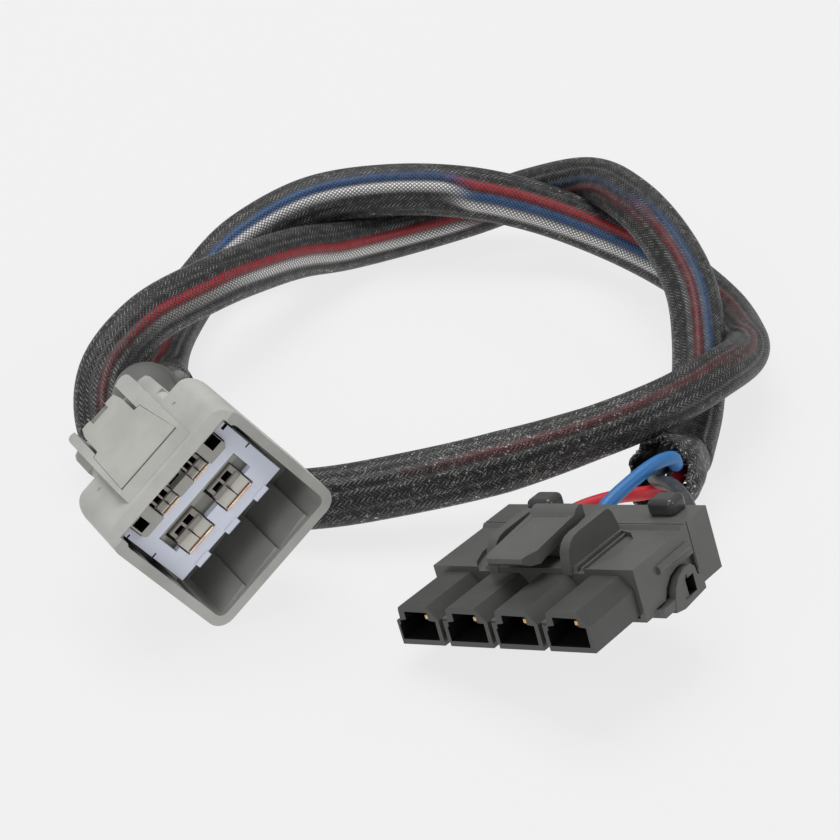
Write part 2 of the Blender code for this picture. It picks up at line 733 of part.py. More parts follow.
for old in list(bpy.data.objects):
    bpy.data.objects.remove(old, do_unlink=True)
PART = bpy.data.collections.new("brake_controller_lead")
CUTTERS = bpy.data.collections.new("cutters")
CUTTERS.hide_render = True
for collection in (PART, CUTTERS):
    bpy.context.scene.collection.children.link(collection)

grey = material("grey_shell_plastic", (0.46, 0.47, 0.43), 0.45)
inner_grey = material("grey_inner_plastic", (0.42, 0.42, 0.38), 0.5)
white = material("white_plastic", (0.78, 0.80, 0.86), 0.4)
tin = material("tinned_metal", (0.72, 0.69, 0.64), 0.3, 1.0)
brass = material("brass", (0.72, 0.52, 0.25), 0.35, 1.0)
dark = material("dark_grey_plastic", (0.095, 0.095, 0.09), 0.42)
rubber = material("seal_rubber", (0.16, 0.16, 0.155), 0.7)
shrink = material("heat_shrink", (0.10, 0.10, 0.098), 0.55)
braid = material("braided_sleeve", (0.05, 0.05, 0.05), 0.5)
wire_looks = {
    "wire_red": material("red_insulation", (0.62, 0.02, 0.04), 0.4),
    "wire_blue": material("blue_insulation", (0.03, 0.16, 0.48), 0.4),
    "wire_white": material("white_insulation", (0.75, 0.75, 0.73), 0.4),
    "wire_black": material("black_insulation", (0.06, 0.065, 0.07), 0.45),
}

vehicle_frame = connector_frame(
    "vehicle_connector_frame", VEHICLE_AT, VEHICLE_TILT, VEHICLE_ROLL, VEHICLE_TURN
)
vehicle_shell(vehicle_frame, grey)
shell_latch(vehicle_frame, grey)
terminal_carrier(vehicle_frame, inner_grey)
terminal_retainer(vehicle_frame, white)
barrels = barrel_places()
for side, x, barrel in zip(("left", "right"), POWER_X, barrels[:2], strict=True):
    terminal(
        f"power_terminal_{side}", x, POWER_Z, 6.3, 5.1, PLATE_FRONT - 0.4, barrel[0],
        vehicle_frame, tin,
    )
for side, x, barrel in zip(("left", "right"), SIGNAL_X, barrels[2:], strict=True):
    terminal(
        f"signal_terminal_{side}", x, SIGNAL_Z, 3.4, 2.9, PLATE_FRONT + 0.2, barrel[0],
        vehicle_frame, tin,
    )
rear_seal(vehicle_frame, rubber)

plug_frame = connector_frame("plug_frame", PLUG_AT, 0.0, PLUG_ROLL, PLUG_TURN)
plug_housing(plug_frame, dark)
plug_latch(plug_frame, dark)
plug_lock(plug_frame, dark)
for number in range(SOCKETS):
    contact(number, plug_frame, brass)

sleeve_line = smooth_line(ROUTE, ROUTE_STEPS)
sleeve_line.append(sleeve_line[-1] + Vector(MOUTH_AXIS).normalized() * 2 * MM)
tube("braided_sleeve", sleeve_line, SLEEVE_D, braid)
heat_shrink_collar(vehicle_frame, shrink)
sleeve_mouth(sleeve_line, braid)
wire_tails(plug_frame, sleeve_line, wire_looks)
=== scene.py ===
"""The looks of the brake controller adapter lead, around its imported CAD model.

Numbers are in millimetres and MM turns them into metres. The routes and places are
written in the lead's own layout, and CENTRE is where the row frame's origin is in it.
Each connector's pieces are made in the connector's own frame: X across, Y from the
mouth to the wires, Z up to the latch.
"""

import math

import bmesh
import bpy
import numpy as np
from mathutils import Matrix, Vector


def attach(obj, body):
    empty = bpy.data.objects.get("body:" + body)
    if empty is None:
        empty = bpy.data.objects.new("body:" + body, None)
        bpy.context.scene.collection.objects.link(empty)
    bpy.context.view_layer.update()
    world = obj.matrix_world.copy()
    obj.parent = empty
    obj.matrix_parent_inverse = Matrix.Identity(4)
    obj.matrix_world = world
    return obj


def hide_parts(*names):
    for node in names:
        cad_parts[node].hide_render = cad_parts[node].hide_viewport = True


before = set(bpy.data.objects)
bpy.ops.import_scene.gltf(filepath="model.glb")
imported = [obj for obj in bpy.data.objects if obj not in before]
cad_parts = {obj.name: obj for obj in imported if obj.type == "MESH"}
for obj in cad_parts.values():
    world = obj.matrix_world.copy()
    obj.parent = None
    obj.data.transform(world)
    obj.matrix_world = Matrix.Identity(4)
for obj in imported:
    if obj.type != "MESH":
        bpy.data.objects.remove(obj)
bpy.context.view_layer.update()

MM = 0.001
CENTRE = Vector((-5.4, -70.1, 0.0))
scene = bpy.context.scene

# --- camera ----------------------------------------------------------------------

ELEVATION = 30.0
DISTANCE = 495.0
LENS = 112.4

tilt = math.radians(ELEVATION)
EYE = Vector((0.0, -math.cos(tilt), math.sin(tilt))) * DISTANCE - CENTRE

camera = bpy.data.objects.new("camera", bpy.data.cameras.new("camera"))
scene.collection.objects.link(camera)
camera.data.lens = LENS
camera.data.sensor_width = 36.0
camera.data.clip_start = 0.01
camera.data.clip_end = 20.0
camera.location = EYE * MM
camera.rotation_euler = (math.pi / 2 - tilt, 0.0, 0.0)
scene.camera = camera


# --- small helpers ---------------------------------------------------------------


def make(name, data):
    """A new object in the scene."""
    obj = bpy.data.objects.new(name, data)
    scene.collection.objects.link(obj)
    return obj


def claim(obj, node, body="root"):
    """Hides the CAD node that a piece replaces, and hangs the piece on what it moves with."""
    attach(obj, body)
    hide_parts(node)


def drop(*objs):
    for obj in objs:
        bpy.data.objects.remove(obj, do_unlink=True)


def evaluated_mesh(obj):
    """An object's mesh as its modifiers leave it."""
    graph = bpy.context.evaluated_depsgraph_get()
    return bpy.data.meshes.new_from_object(obj.evaluated_get(graph), depsgraph=graph)


def smooth(mesh, angle):
    mesh.shade_smooth()
    mesh.set_sharp_from_angle(angle=math.radians(angle))


def catmull(points, steps):
    """Points along a Catmull-Rom curve through the given ones."""
    points = [Vector(p) for p in points]
    points = [2 * points[0] - points[1], *points, 2 * points[-1] - points[-2]]
    line = []
    for a, b, c, d in zip(points, points[1:], points[2:], points[3:]):
        for i in range(steps):
            t = i / steps
            line.append(
                (2 * b + (c - a) * t + (2 * a - 5 * b + 4 * c - d) * t**2
                 + (3 * b - a - 3 * c + d) * t**3) / 2
            )
    line.append(points[-2])
    return line


def distances(points):
    """How far along a line each of its points is."""
    steps = np.linalg.norm(np.diff(points, axis=0), axis=1)
    return np.concatenate([[0.0], np.cumsum(steps)])


def resample(line, spacing):
    """The line again, with points a constant distance apart, and how far along each is."""
    points = np.array([tuple(p) for p in line])
    along = distances(points)
    count = max(2, int(round(along[-1] / spacing)) + 1)
    want = np.linspace(0.0, along[-1], count)
    out = np.stack([np.interp(want, along, points[:, k]) for k in range(3)], axis=1)
    return out, want


# --- materials -------------------------------------------------------------------


class Nodes:
    """A material's node tree, with a short way to add nodes and link them."""

    def __init__(self, name):
        self.material = bpy.data.materials.new(name)
        self.material.use_nodes = True
        self.tree = self.material.node_tree
        self.shader = self.tree.nodes["Principled BSDF"]

    def add(self, kind, inputs=(), **settings):
        """A new node, with its settings and whatever goes into its named inputs."""
        node = self.tree.nodes.new(kind)
        for key, value in settings.items():
            setattr(node, key, value)
        for key, value in dict(inputs).items():
            self.feed(node.inputs[key], value)
        return node

    def feed(self, socket, value):
        """Links a node or a socket into a socket, or sets its plain value."""
        if isinstance(value, bpy.types.NodeSocket):
            self.tree.links.new(value, socket)
        elif isinstance(value, bpy.types.Node):
            self.tree.links.new(value.outputs[0], socket)
        else:
            socket.default_value = value

    def surface(self, name, value):
        self.feed(self.shader.inputs[name], value)

    def math(self, operation, a, b=0.0):
        node = self.add("ShaderNodeMath", operation=operation)
        for socket, value in zip(node.inputs, (a, b)):
            self.feed(socket, value)
        return node.outputs[0]

    def shift(self, value, base, gain):
        """The base plus the gain times the value."""
        return self.math("ADD", base, self.math("MULTIPLY", value, gain))

    def mix(self, factor, a, b):
        node = self.add("ShaderNodeMix", data_type="RGBA")
        self.feed(node.inputs["Factor"], factor)
        colours = [s for s in node.inputs if s.type == "RGBA"]
        self.feed(colours[0], a)
        self.feed(colours[1], b)
        return [s for s in node.outputs if s.type == "RGBA"][0]

    def noise(self, scale, detail=3.0, rough=0.5):
        vector = self.add("ShaderNodeTexCoord").outputs["Object"]
        node = self.add(
            "ShaderNodeTexNoise",
            inputs={"Vector": vector, "Scale": scale, "Detail": detail, "Roughness": rough},
        )
        return node.outputs["Fac"]

    def ramp(self, value, low, high, out_low=0.0, out_high=1.0):
        node = self.add("ShaderNodeMapRange", clamp=True)
        for key, number in (
            ("Value", value), ("From Min", low), ("From Max", high),
            ("To Min", out_low), ("To Max", out_high),
        ):
            self.feed(node.inputs[key], number)
        return node.outputs[0]

    def bump(self, height, strength, distance):
        inputs = {"Strength": strength, "Distance": distance * MM, "Height": height}
        return self.add("ShaderNodeBump", inputs=inputs).outputs[0]


def rgba(colour):
    return (*colour, 1.0)


def moulded(name, colour, roughness, shade=0.82, grain=0.02, specular=0.5):
    """Moulded plastic: slightly uneven colour and sheen, with a fine moulded grain."""
    n = Nodes(name)
    cloudy = n.ramp(n.noise(90.0, 4.0, 0.6), 0.35, 0.65)
    dark = tuple(c * shade for c in colour)
    n.surface("Base Color", n.mix(cloudy, rgba(dark), rgba(colour)))
    fine = n.noise(2600.0, 2.0, 0.5)
    streak = n.ramp(n.noise(240.0, 3.0, 0.6), 0.3, 0.7, roughness - 0.06, roughness + 0.08)
    n.surface("Roughness", streak)
    n.surface("Specular IOR Level", specular)
    n.surface("Normal", n.bump(fine, 0.5, grain))
    return n.material


def metal(name, colour, roughness, tarnish):
    """Plated sheet metal with fine drawn lines and a little tarnish."""
    n = Nodes(name)
    worn = n.ramp(n.noise(420.0, 4.0, 0.65), 0.4, 0.7)
    n.surface("Base Color", n.mix(worn, rgba(colour), rgba(tarnish)))
    n.surface("Metallic", 1.0)
    n.surface("Roughness", n.ramp(worn, 0.0, 1.0, roughness, roughness + 0.15))
    n.surface("Normal", n.bump(n.noise(1500.0, 2.0, 0.5), 0.4, 0.02))
    return n.material


def insulation(name, colour):
    """Extruded wire insulation, with faint scuffs."""
    n = Nodes(name)
    scuff = n.ramp(n.noise(700.0, 4.0, 0.6), 0.45, 0.75)
    pale = tuple(min(1.0, c * 0.8 + 0.035) for c in colour)
    n.surface("Base Color", n.mix(scuff, rgba(colour), rgba(pale)))
    n.surface("Roughness", n.ramp(scuff, 0.0, 1.0, 0.42, 0.54))
    n.surface("Normal", n.bump(n.noise(900.0, 3.0, 0.5), 0.5, 0.03))
    return n.material


def braid(name, filaments, pitch, pale=1.0):
    """Woven plastic filaments over the wires, each thread over two and under two.

    The mesh's UV runs once round the sleeve in U and counts millimetres along it in
    V. Filaments is how many threads go round, and pitch how many millimetres each
    takes to move on by one. The mesh's "under" colour says what lies behind the gaps
    between the threads, and its alpha how much of the pale surroundings glints through.
    The threads are near black with a painted highlight on their crowns, and pale scales
    that painted highlight.
    """
    n = Nodes(name)
    uv = n.add("ShaderNodeUVMap", uv_map="sleeve")
    split = n.add("ShaderNodeSeparateXYZ", inputs={"Vector": uv.outputs[0]})
    u, v = split.outputs[0], split.outputs[1]
    wobble = n.math("MULTIPLY", n.math("SUBTRACT", n.noise(150.0, 2.0), 0.5), 0.9)
    turns = n.math("ADD", n.math("MULTIPLY", u, filaments), wobble)
    climb = n.math("DIVIDE", v, pitch)
    left = n.math("ADD", turns, climb)
    right = n.math("SUBTRACT", turns, climb)
    waves = [n.math("COSINE", n.math("MULTIPLY", way, math.tau)) for way in (left, right)]
    step = n.math("ADD", n.math("ROUND", left), n.math("ROUND", right))
    over = n.math("LESS_THAN", n.math("FLOORED_MODULO", step, 4.0), 1.5)
    thread = n.math("MAXIMUM", *(n.ramp(wave, 0.2, 0.55) for wave in waves))
    heights = [
        n.math("MULTIPLY", n.ramp(wave, 0.05, 0.7), n.shift(on_top, 0.3, 0.7))
        for wave, on_top in zip(waves, (over, n.math("SUBTRACT", 1.0, over)))
    ]
    height = n.math("MAXIMUM", *heights)
    leftward = n.math("GREATER_THAN", *heights)
    attribute = n.add("ShaderNodeAttribute", attribute_name="under")
    under, glint = attribute.outputs["Color"], attribute.outputs["Alpha"]
    spark = n.math("MULTIPLY", n.ramp(n.noise(1300.0, 2.0, 0.6), 0.60, 0.65), glint)
    behind = n.mix(spark, under, rgba((1.0, 1.0, 0.98)))
    parts = n.add("ShaderNodeSeparateColor", inputs={"Color": under})
    peak = n.math("MAXIMUM", parts.outputs[0], parts.outputs[2])
    vivid = n.ramp(peak, 0.03, 0.25)
    # Painted highlight on the threads' crowns: patchy along the sleeve, full on the threads leaning one
    # way and half on the others (painted sheen), weaker over coloured strips.
    lit = n.ramp(n.noise(620.0, 3.0, 0.65), 0.40, 0.64)
    bright = n.math("POWER", height, 3.4)
    for part in (n.shift(lit, 0.12, 1.0), n.shift(leftward, 0.5, 0.5), n.shift(vivid, 1.0, -0.55)):
        bright = n.math("MULTIPLY", bright, part)
    shine = tuple(c * pale for c in (0.205, 0.205, 0.197))
    fibre = n.mix(bright, rgba((0.006, 0.0062, 0.006)), rgba(shine))
    stain = n.mix(n.math("MULTIPLY", vivid, 0.16), fibre, under)
    n.surface("Base Color", n.mix(thread, behind, stain))
    n.surface("Roughness", n.ramp(thread, 0.0, 1.0, 0.6, 0.42))
    n.surface("Specular IOR Level", 0.42)
    n.surface("Normal", n.bump(height, 0.8, 0.10))
    return n.material


GREY_SHELL = moulded("grey_shell", (0.475, 0.48, 0.45), 0.46)
GREY_LATCH = moulded("grey_latch", (0.46, 0.468, 0.43), 0.44)
GREY_INNER = moulded("grey_inner", (0.43, 0.425, 0.385), 0.5)
GREY_SHADE = moulded("grey_shade", (0.24, 0.24, 0.225), 0.55)
# Grey darkened as painted shade, for the walls inside the shell's mouth.
GREY_CAVITY_SHADE = moulded("grey_cavity_shade", (0.38, 0.385, 0.37), 0.55)
# Near black for holes, slots, nicks and slits: painted shade in openings.
SHADE_BLACK = moulded("hollow_painted_shade", (0.012, 0.012, 0.012), 0.7, specular=0.1)
WHITE_PLATE = moulded("white_plate", (0.80, 0.84, 0.97), 0.36, shade=0.94)
DARK = moulded("dark_plastic", (0.104, 0.104, 0.100), 0.40, shade=0.84, grain=0.015)
# The housing's plastic darkened for the silos: painted shade.
DARK_SILO_SHADE = moulded("dark_silo_painted_shade", (0.063, 0.063, 0.061), 0.34, shade=0.84, grain=0.015)
DARK_GLOSS = moulded("dark_gloss", (0.052, 0.052, 0.052), 0.2, shade=0.9, grain=0.004)
DARK_LATCH = moulded("dark_latch", (0.108, 0.108, 0.103), 0.36, shade=0.86, grain=0.015)
# Near black for the insides of the plug's sockets, bores, lock windows and contacts: painted shade.
SOCKET_SHADE = moulded("socket_painted_shade", (0.010, 0.0095, 0.009), 0.5, specular=0.3)
RUBBER = moulded("seal_rubber", (0.09, 0.09, 0.088), 0.65)
SHRINK = moulded("heat_shrink", (0.115, 0.115, 0.11), 0.5, shade=0.8)
DULL_TIN = moulded("dull_tin", (0.33, 0.30, 0.27), 0.36, shade=0.8, grain=0.004, specular=0.8)
SPRING = moulded("tin_spring", (0.66, 0.64, 0.58), 0.3, shade=0.86, grain=0.004, specular=0.8)
COPPER = metal("copper_edge", (0.95, 0.76, 0.58), 0.24, (0.72, 0.46, 0.30))
DARK_COPPER = moulded("dark_copper", (0.13, 0.075, 0.045), 0.4, specular=0.7)
BRASS = metal("brass", (0.80, 0.52, 0.24), 0.34, (0.50, 0.30, 0.14))
RED = insulation("red_insulation", (0.60, 0.022, 0.035))
BLUE = insulation("blue_insulation", (0.012, 0.15, 0.42))
WHITE = insulation("white_insulation", (0.72, 0.72, 0.70))
BLACK = insulation("black_insulation", (0.028, 0.034, 0.038))
BRAID = braid("braided_mesh", 42.0, 0.92)
OPEN_BRAID = braid("open_mesh", 42.0, 0.9, 1.3)
FILAMENT = moulded("filament", (0.05, 0.05, 0.048), 0.35, specular=0.8)


# --- the lead --------------------------------------------------------------------

WIRE_D = 2.5
SLEEVE_COLUMNS = 84
ROUTE_STEPS = 8
MOUTH_AXIS = Vector((-0.34, -0.92, 0.2)).normalized()
MOUTH_RIGHT = MOUTH_AXIS.cross(Vector((0, 0, -1))).normalized()
MOUTH_UP = MOUTH_AXIS.cross(MOUTH_RIGHT)
ROUTE = (
    (-47.5, -23.0, 18.5), (-46.2, -13.0, 13.8), (-46.8, -4.0, 9.0), (-49.0, 5.5, 6.8),
    (-49.3, 18.0, 6.0), (-47.6, 31.0, 5.7), (-43.6, 46.0, 6.5), (-36.0, 56.5, 10.5),
    (-22.5, 63.5, 15.3), (-6.5, 66.5, 16.7), (10.0, 67.6, 15.6), (25.0, 66.4, 12.6),
    (40.0, 60.8, 8.8), (52.0, 50.2, 6.5), (59.8, 36.5, 5.8), (62.3, 19.8, 8.0),
    (60.8, 3.0, 12.8), (54.0, -12.6, 17.0), (43.5, -24.2, 17.3), (30.5, -30.8, 15.2),
    (14.5, -35.3, 12.0), (-1.5, -38.3, 9.5), (-17.5, -40.0, 7.4), (-32.5, -38.0, 5.8),
    (-46.3, -32.0, 5.9), (-55.8, -22.3, 9.4), (-57.3, -9.8, 15.4), (-50.8, 4.5, 19.0),
    (-40.5, 20.0, 18.3), (-32.5, 34.3, 15.2), (-24.5, 48.2, 11.3), (-15.5, 60.0, 7.1),
    (-3.5, 69.5, 5.7), (10.5, 76.0, 7.0), (23.8, 77.2, 11.5), (35.6, 69.9, 17.2),
    (42.8, 54.4, 20.0), (48.8, 39.0, 18.7), (52.6, 24.2, 15.3), (53.0, 9.5, 10.4),
    (51.2, -6.5, 6.6), (47.8, -22.3, 5.6),
)
# Each wire's route from the plug to the sleeve, where it enters the sleeve (to the
# right of its middle and above it) and its look.
WIRES = {
    "red": (((24.2, -48.0, 8.2), (28.2, -44.2, 8.3), (34.0, -40.9, 8.2), (39.5, -38.6, 7.6),
             (43.6, -36.2, 7.3)), (2.0, 0.0), RED),
    "blue": (((31.1, -54.2, 14.4), (35.8, -49.0, 16.2), (40.2, -44.4, 17.0),
              (43.4, -40.8, 16.0), (44.5, -37.8, 12.9)), (0.0, 2.0), BLUE),
    "white": (((38.6, -59.8, 14.8), (40.0, -53.0, 12.0), (41.4, -46.0, 7.5),
               (42.4, -40.5, 5.0), (43.4, -36.0, 4.8)), (0.0, -2.0), WHITE),
    "black": (((44.7, -65.4, 18.4), (44.3, -60.0, 18.4), (43.4, -55.0, 17.8),
               (42.4, -50.0, 16.2), (41.3, -45.2, 13.8), (40.9, -41.0, 11.7),
               (40.9, -38.0, 10.5)), (-2.0, 0.0), BLACK),
}


def in_row(points):
    """Layout millimetres to the row frame's millimetres."""
    return [Vector(p) - CENTRE for p in points]


def connector_matrix(at, tilt_deg, roll_deg, turn_deg):
    """From a connector's own metres to the row frame: rolled, tilted, turned and moved."""
    turn = Matrix.Rotation(math.radians(turn_deg), 4, "Z")
    tip = Matrix.Rotation(math.radians(tilt_deg), 4, "X")
    roll = Matrix.Rotation(math.radians(roll_deg), 4, "Y")
    return Matrix.Translation((Vector(at) - CENTRE) * MM) @ turn @ tip @ roll


VEHICLE = connector_matrix((-32.0, -68.2, 20.82), -3.0, -40.0, 28.6)
PLUG = connector_matrix((12.2, -89.3, 9.95), 0.0, -19.8, -36.0)
SHELL_REAR, SEAL_Z = 25.0, 0.6
PLUG_HALF, PLUG_REAR = 20.2, 35.2
SOCKET_PITCH, SOCKET_Z = 10.0, 2.9


def frames(points):
    """For each point of a line: the way to the eye and the way across.

    Both ways are square to the line, so that the cord can be shaped differently on
    the side that is seen from the front and above.
    """
    ahead = np.gradient(points, axis=0)
    ahead /= np.linalg.norm(ahead, axis=1)[:, None]
    to_eye = np.array(EYE)[None] - points
    to_eye -= (to_eye * ahead).sum(axis=1)[:, None] * ahead
    to_eye /= np.linalg.norm(to_eye, axis=1)[:, None]
    return to_eye, np.cross(ahead, to_eye)


def tube_mesh(name, rings, closed=True):
    """A tube's mesh from rings of points, with a cap at each end where it is closed."""
    rows, columns = rings.shape[:2]
    faces = [
        (i * columns + j, i * columns + (j + 1) % columns,
         (i + 1) * columns + (j + 1) % columns, (i + 1) * columns + j)
        for i in range(rows - 1) for j in range(columns)
    ]
    if closed:
        faces.append(tuple(range(columns - 1, -1, -1)))
        faces.append(tuple(range((rows - 1) * columns, rows * columns)))
    mesh = bpy.data.meshes.new(name)
    mesh.from_pydata([tuple(p * MM) for p in rings.reshape(-1, 3)], [], faces)
    return mesh


def woven_mesh(name, rings, along, unders, closed=True):
    """A tube's mesh for the braid, with its UVs and its colour behind the gaps."""
    rows, columns = rings.shape[:2]
    mesh = tube_mesh(name, rings, closed)
    layer = mesh.uv_layers.new(name="sleeve")
    around = np.arange(columns + 1) / columns
    sides = [
        (around[column], along[row]) for i in range(rows - 1) for j in range(columns)
        for row, column in ((i, j), (i, j + 1), (i + 1, j + 1), (i + 1, j))
    ]
    data = np.zeros((len(mesh.loops), 2), np.float32)
    data[:len(sides)] = sides
    layer.data.foreach_set("uv", data.ravel())
    colours = mesh.color_attributes.new("under", "FLOAT_COLOR", "POINT")
    colours.data.foreach_set("color", unders.astype(np.float32).ravel())
    smooth(mesh, 70.0)
    return mesh


# The wires' colours behind the mesh, some in painted shade: black, for the black wire and for
# painted shade among the wires; white, and grey as white in painted shade; then red, and darker
# red and maroon as red in painted shade; then blue, and darker blue and navy as blue in painted shade.
UNDER = {
    "k": (0.012, 0.012, 0.013), "w": (0.95, 0.94, 0.93), "g": (0.34, 0.33, 0.32),
    "r": (0.50, 0.022, 0.035), "d": (0.22, 0.017, 0.025), "m": (0.13, 0.012, 0.017),
    "b": (0.03, 0.12, 0.33), "e": (0.022, 0.08, 0.21), "n": (0.014, 0.04, 0.10),
}
# What shows through the sleeve, by the number of the route's point: five strips, from
# the one on the right of somebody walking along the route to the one on the left, then
# how far all of them are moved to the right.
SHOWS = (
    (0.0, "kkrgk", 0.0), (5.0, "kkrgk", 0.0), (6.2, "kkwbk", 0.0), (9.6, "kkwbk", -0.16),
    (10.1, "kwbrk", 0.1), (13.4, "kwbrk", 0.1), (14.4, "kkkmk", 0.0), (16.0, "kkmkk", 0.0),
    (17.5, "kmkkk", 0.0), (20.0, "kmkkk", 0.0), (21.5, "kkkkk", 0.0), (23.0, "kkkkk", 0.0),
    (24.5, "kkmkk", 0.0), (26.2, "kkmkk", 0.0), (27.4, "kgrkk", 0.0), (29.0, "kwrkk", 0.0),
    (32.6, "kwrkk", 0.0), (33.2, "kmnkk", 0.0), (36.0, "kmnkk", 0.0), (37.2, "kkdek", 0.0),
    (39.2, "kkdek", 0.0), (40.0, "kkkkk", 0.0), (41.0, "kkkkk", 0.0),
)
# Where the pale surroundings glint through the sleeve's two edges: right, then left,
# and how wide the sleeve is there, from its middle.
EDGES = (
    (0.0, 0.5, 0.3, 4.9), (5.0, 0.3, 0.2, 5.1), (7.0, 0.3, 0.3, 5.4), (10.0, 0.4, 0.2, 5.4),
    (12.0, 0.5, 0.3, 5.0), (14.0, 0.2, 0.2, 4.6), (17.0, 0.2, 0.3, 4.5), (19.0, 0.2, 0.9, 4.7),
    (20.0, 0.2, 1.0, 5.4), (24.0, 0.3, 0.5, 5.3), (26.0, 0.5, 0.3, 5.2), (31.0, 0.8, 0.2, 5.1),
    (36.0, 0.3, 0.3, 5.0), (41.0, 0.5, 0.5, 5.1),
)
LOBES = 5
LOBE_RISE = 0.7
LOBE_SPACING = 0.42
THICKNESS = 0.88


def strips(place):
    """The colours of the strips at a place on the route, and how far they are moved."""
    for (a, first, here), (b, second, there) in zip(SHOWS, SHOWS[1:]):
        if a <= place <= b:
            t = (place - a) / (b - a)
            t = t * t * (3 - 2 * t)
            mixed = [
                np.array(UNDER[x]) * (1 - t) + np.array(UNDER[y]) * t for x, y in zip(first, second)
            ]
            return mixed, here * (1 - t) + there * t
    return [np.array(UNDER[x]) for x in SHOWS[-1][1]], SHOWS[-1][2]


def edges(place):
    """The right and the left glint at a place on the route, and the half-width there."""
    places = [row[0] for row in EDGES]
    return [float(np.interp(place, places, [row[k] for row in EDGES])) for k in (1, 2, 3)]


def ring_angles(columns):
    return np.arange(columns) / columns * math.tau


def sleeve_rings(points, places, along):
    """Rings of a sleeve that is draped over wires lying side by side."""
    to_eye, across = frames(points)
    rows = len(points)
    angles = ring_angles(SLEEVE_COLUMNS)
    side = np.sin(angles)
    rings = np.zeros((rows, SLEEVE_COLUMNS, 3))
    unders = np.zeros((rows, SLEEVE_COLUMNS, 4))
    random = np.random.default_rng(11)
    wander = [random.uniform(0, math.tau, 3) for _ in range(LOBES)]
    for i in range(rows):
        s = along[i]
        colours, moved = strips(places[i])
        right_glint, left_glint, widest = edges(places[i])
        bump = np.zeros(SLEEVE_COLUMNS)
        # Between the strips the gaps show black: painted shade among the wires.
        under = np.tile(np.array(UNDER["k"]), (SLEEVE_COLUMNS, 1))
        for k in range(LOBES):
            height = LOBE_SPACING * (2 - k) + moved
            height += 0.03 * math.sin(s / 19.0 + wander[k][0])
            height += 0.015 * math.sin(s / 8.0 + wander[k][1])
            centre = math.asin(max(-0.95, min(0.95, height)))
            for middle in (centre, math.pi - centre):
                gap = np.angle(np.exp(1j * (angles - middle)))
                width = 0.21 / max(0.35, abs(math.cos(middle)))
                bump = np.maximum(bump, np.exp(-((gap / width) ** 2)))
                weight = np.clip(1.5 - np.abs(gap) / (width * 0.85), 0, 1)[:, None]
                under = under * (1 - weight) + colours[k][None] * weight
        bump = np.maximum(bump, np.clip((np.abs(side) - 0.82) / 0.1, 0, 1))
        radius = widest - LOBE_RISE * (1 - bump) + 0.08 * math.sin(s / 23.0 + 1.0)
        direction = np.cos(angles)[:, None] * to_eye[i] * THICKNESS + side[:, None] * across[i]
        rings[i] = points[i] + direction * radius[:, None]
        unders[i, :, :3] = under
        unders[i, :, 3] = 0.8 * max(0.0, left_glint - 0.5)
        for way, glint in ((side, right_glint), (-side, left_glint)):
            unders[i, :, 3] += np.clip((way - 0.74) / 0.16, 0, 1) * glint
    return rings, unders


def braided_sleeve():
    """The sleeve from the collar to its open end, as one tube along its route."""
    line = catmull(in_row(ROUTE), ROUTE_STEPS)
    line.append(line[-1] + MOUTH_AXIS * 2)
    points, along = resample(line, 0.9)
    reached = distances(np.array([tuple(p) for p in line]))
    places = np.interp(along, reached, np.arange(len(line)) / ROUTE_STEPS)
    rings, unders = sleeve_rings(points, places, along)
    mesh = woven_mesh("braided_sleeve", rings, along, unders)
    obj = make("sleeve_braid", mesh)
    mesh.materials.append(BRAID)
    claim(obj, "braided_sleeve")
    return obj, points, along, line[-1]


sleeve, sleeve_points, sleeve_along, sleeve_end = braided_sleeve()

CUFF_TUCK = 0.28  # how much of its radius the open end loses on its right
HAIRS = 60


